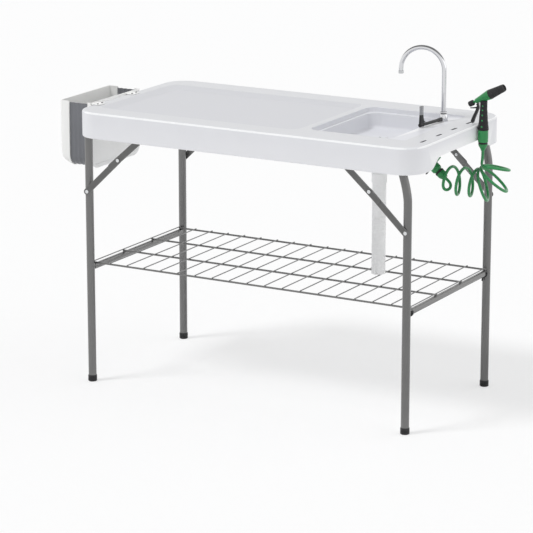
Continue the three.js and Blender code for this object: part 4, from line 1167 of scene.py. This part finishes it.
cone = raised([(0, 0), (6, 0), (6.5, 0.5), (6.7, 3), (8.6, 7), (11.8, 12), (13.7, 16), (14, 18)], tail_top)
cone = lathe([*cone, (13.9, cone_top - 0.5), (13.4, cone_top), (0, cone_top)], 56)
piece("gun_hose_nut", shifted(cone, *GUN_PLACE), "green", "gun_cone")


def strap(points, size_at):
    """Carries a rounded box along a curve. size_at gives its reach to each side, half width and corner by share"""
    path = spline(points, 4)
    sections = []
    for share in shares(len(path) - 1):
        toward, away, half, corner = size_at(share)
        sections.append(rounded((-toward, away, -half, half), corner, 3))
    return sweep(path, sections)


def blade_size(share):
    toward = 1.7 + min(0.5 + 4 * max(0, share - 0.5), 5 * share, 13 * (1.12 - share))
    away = 1.7 + 4.2 * min(1, 3 * share, 6 * (1.06 - share))
    return toward, away, 5.9 - 0.9 * sin(pi * share), 1.3


def trigger_shape():
    station = 2  # along the barrel
    drop = 7 + 8 * station / 51.2 + GAP + 3  # the barrel's radius there, a gap and the pin's radius
    x = GUN.rear_x + station * cos(tilt) + drop * sin(tilt)
    z = GUN.rear_z + station * sin(tilt) - drop * cos(tilt)
    line = ((0, 0), (1.4, -5), (2.2, -11), (-0.5, -20), (-5, -30), (-9.8, -40), (-14, -50), (-16.8, -56.6))
    blade = strap([(along, 0, up) for along, up in line], blade_size)
    pin = along_y(rod(3, -5.9, 5.9, 28, 0.5))
    return shifted(joined(blade, pin), x, GUN.y, z)


piece("gun_lever", trigger_shape(), "black", "gun_trigger", "trigger")

# Inlet under the sink end
start = Vector((*FAUCET, 800 - GAP))
finish = inlet_place - inlet_way * GAP
tube = [bezier(start, start - upward * 40, inlet_place - inlet_way * 40, finish, share) for share in shares(32)]
piece("supply_tube", sweep(tube, 8), "black", "inlet_elbow")


def at_inlet(shape):
    return aimed(shape, inlet_place, inlet_way)


adaptor = [
    (0, 0), (15.4, 0), (16, 0.6), (16, 4), (15.5, 4.6), (15.5, 5.6), (16, 6.2), (16, 17.2), (15.4, 19), (13, 22.5),
    (11.6, 25), (11, 26), (0, 26),
]
adaptor = lathe(adaptor, 120, flutes=(20, 0.9, 6.2, 17.2))
piece("inlet_coupling", at_inlet(adaptor), "green", "inlet_adaptor")


def wing_shape(low, high):
    rings = []
    for share in shares(8):
        x = low + (high - low) * share
        reach = abs(x) / 37
        ends = min(1.0, 0.72 + 0.28 * min(share, 1 - share) * 8)
        half = (6 - 1.6 * reach ** 2) * ends
        thick = (1.75 - 0.35 * reach) * ends
        rings.append(across(x, rounded((-half, half, 1.75 - thick, 1.75 + thick), ends, 3)))
    return loft(rings)


for name, low, high, paint in (("upper", -37, -13, "green"), ("lower", 13, 28, "green"), ("tip", 28, 37, "black")):
    piece(f"inlet_wing_{name}", at_inlet(wing_shape(low, high)), paint)
inlet_ring = lathe([(0, 26.3), (13.8, 26.3), (14.5, 27), (14.5, 31.6), (13.8, 32.3), (0, 32.3)], 56)
piece("inlet_seal", at_inlet(inlet_ring), "rubber", "inlet_ring")
nut = [
    (0, 32.6), (13.4, 32.6), (14, 33.2), (14, 40), (13.2, 43), (11.2, 48), (9.8, 52), (9, 54), (8.6, connector_end),
    (0, connector_end),
]
nut = lathe(nut, 120, flutes=(18, 0.8, 33.2, 43))
piece("inlet_hose_nut", at_inlet(nut), "green", "inlet_connector")

# Waste bin: outer shell, folding gusset, back plate
BIN = Sizes(front=-205, back=80, bottom=658, top=868, wall=3, corner=38, curve=48, depth=34, flange=12)
BIN_LEFT = -HALF - 114
PLATE_RIGHT = -HALF - GAP
PLATE_LEFT = PLATE_RIGHT - BIN.wall
GUSSET_LEFT = BIN_LEFT + BIN.depth + GAP
FLANGE_LEFT = PLATE_LEFT - BIN.flange
GUSSET_RIGHT = FLANGE_LEFT - GAP
HOOKS = (-180, 18)
HOOK_Z = TOP.height + GAP


def bin_line(inset, bottom, top, radius):
    """The bin's outline across the table: from the front top, down, along and up to the back top"""
    front, back = BIN.front + inset, BIN.back - inset
    points = [(front, top), (front, (top + bottom + radius) / 2)]
    for centre, start in ((front + radius, 180), (back - radius, 270)):
        for i in range(11):
            a = radians(start + 9 * i)
            points.append((centre + radius * cos(a), bottom + radius + radius * sin(a)))
    return [*points, (back, (top + bottom + radius) / 2), (back, top)]


def shell_ring(x, wall, top):
    """The shell's section at a place along the table: its foot curves up to the end wall"""
    run = x - BIN_LEFT - wall
    curve = BIN.curve - wall
    edge = 9 - wall
    bottom = BIN.bottom + wall
    if run < curve:
        bottom += curve - sqrt(curve ** 2 - (curve - run) ** 2)
    inset = wall
    if run < edge:
        inset += edge - sqrt(edge ** 2 - (edge - run) ** 2)
    corner = 14 + (BIN.corner - wall - 14) * min(1, run / 30)
    return across(x, bin_line(inset, bottom, top, corner))


def bin_shell():
    outer = []
    inner = []
    for share in (0, 0.01, 0.04, 0.09, 0.16, 0.25, 0.38, 0.55, 0.75, 1):
        outer.append(shell_ring(BIN_LEFT + share * BIN.depth, 0, BIN.top))
        inner.append(shell_ring(BIN_LEFT + BIN.wall + share * (BIN.depth + 6), BIN.wall, BIN.top + 20))
    return carved(loft(outer), loft(inner))


def soft_edges(thing, width):
    bevel = thing.modifiers.new("edge", "BEVEL")
    bevel.width = width * MM
    bevel.segments = 3
    bevel.limit_method = "ANGLE"
    bevel.angle_limit = radians(50)
    thing.modifiers.move(len(thing.modifiers) - 1, 0)


shell = piece("bin_end", bin_shell(), "white", "bin_shell", "bin_outer", 30)
soft_edges(shell, 0.9)


def wall_ring(x, inset, wall, top):
    """A section of the wall that runs down, along and up again"""
    outer = bin_line(inset, BIN.bottom + inset, top, BIN.corner - inset)
    inner = bin_line(inset + wall, BIN.bottom + inset + wall, top, BIN.corner - inset - wall)
    return across(x, [*outer, *reversed(inner)])


def bin_gusset():
    """A soft wall with folds that let it close up"""
    rings = []
    folds = 4
    for share in shares(48):
        wave = abs((share * folds) % 1 - 0.5) * 2
        inset = 4.1 + 1.5 * (1 - wave) ** 0.8
        x = GUSSET_LEFT + share * (GUSSET_RIGHT - GUSSET_LEFT)
        rings.append(wall_ring(x, inset, 1.6, BIN.top - 4 - 0.6 * (1 - wave)))
    return loft(rings)


gusset = piece("bin_bellows", bin_gusset(), "gusset", "bin_gusset", angle=50)
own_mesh(gusset)


def back_plate():
    edges = (
        (0.9, PLATE_LEFT), (0.2, PLATE_LEFT + 0.2), (0, PLATE_LEFT + 0.8), (0, PLATE_RIGHT - 0.8),
        (0.25, PLATE_RIGHT - 0.2), (0.9, PLATE_RIGHT), (11, PLATE_RIGHT), (11.7, PLATE_RIGHT - 0.2),
        (12.6, PLATE_RIGHT - 1.4),
    )
    rings = []
    for inset, x in edges:
        rings.append(across(x, bin_line(inset, BIN.bottom + inset, BIN.top - inset, BIN.corner - inset)))
    flange = []
    for x, slim in ((FLANGE_LEFT, 0.8), (FLANGE_LEFT + 0.2, 0.3), (FLANGE_LEFT + 0.8, 0), (PLATE_LEFT + 0.5, 0)):
        flange.append(wall_ring(x, 5 + slim, 3 - 2 * slim, BIN.top - slim))
    shapes = [loft(rings), loft(flange)]
    for y in HOOKS:
        shapes.append(block((PLATE_LEFT + 1, PLATE_LEFT + 31, y - 19, y + 19), 5, HOOK_Z, HOOK_Z + 3, 1.1))
    return joined(*shapes)


piece("bin_plate", back_plate(), "white", "bin_back_plate", angle=30)
heads = []
for y in HOOKS:
    for side in (-12, 12):
        head = lathe([(0, 0), (3.4, 0), (3.4, 0.5), (2.9, 1.3), (1.9, 1.8), (1.7, 1.8), (1.6, 0.8), (0, 0.8)], 24)
        heads.append(shifted(head, PLATE_LEFT + 22, y + side, HOOK_Z + 2.9))
piece("bin_screws", joined(*heads), "black_steel")


# A small catch on the trigger
def catch_size(share):
    thick = 2.6 - 1.3 * share
    return thick, thick, 2.9 - 1.5 * share, min(0.7, thick * 0.8)


catch = strap([(584, 0, 914.6), (575, 0, 912.8), (566, 0, 911.2), (557.5, 0, 910.4)], catch_size)
piece("gun_catch", shifted(catch, 0, GUN.y, 0), "black", body="trigger")


make_light()
make_floor()
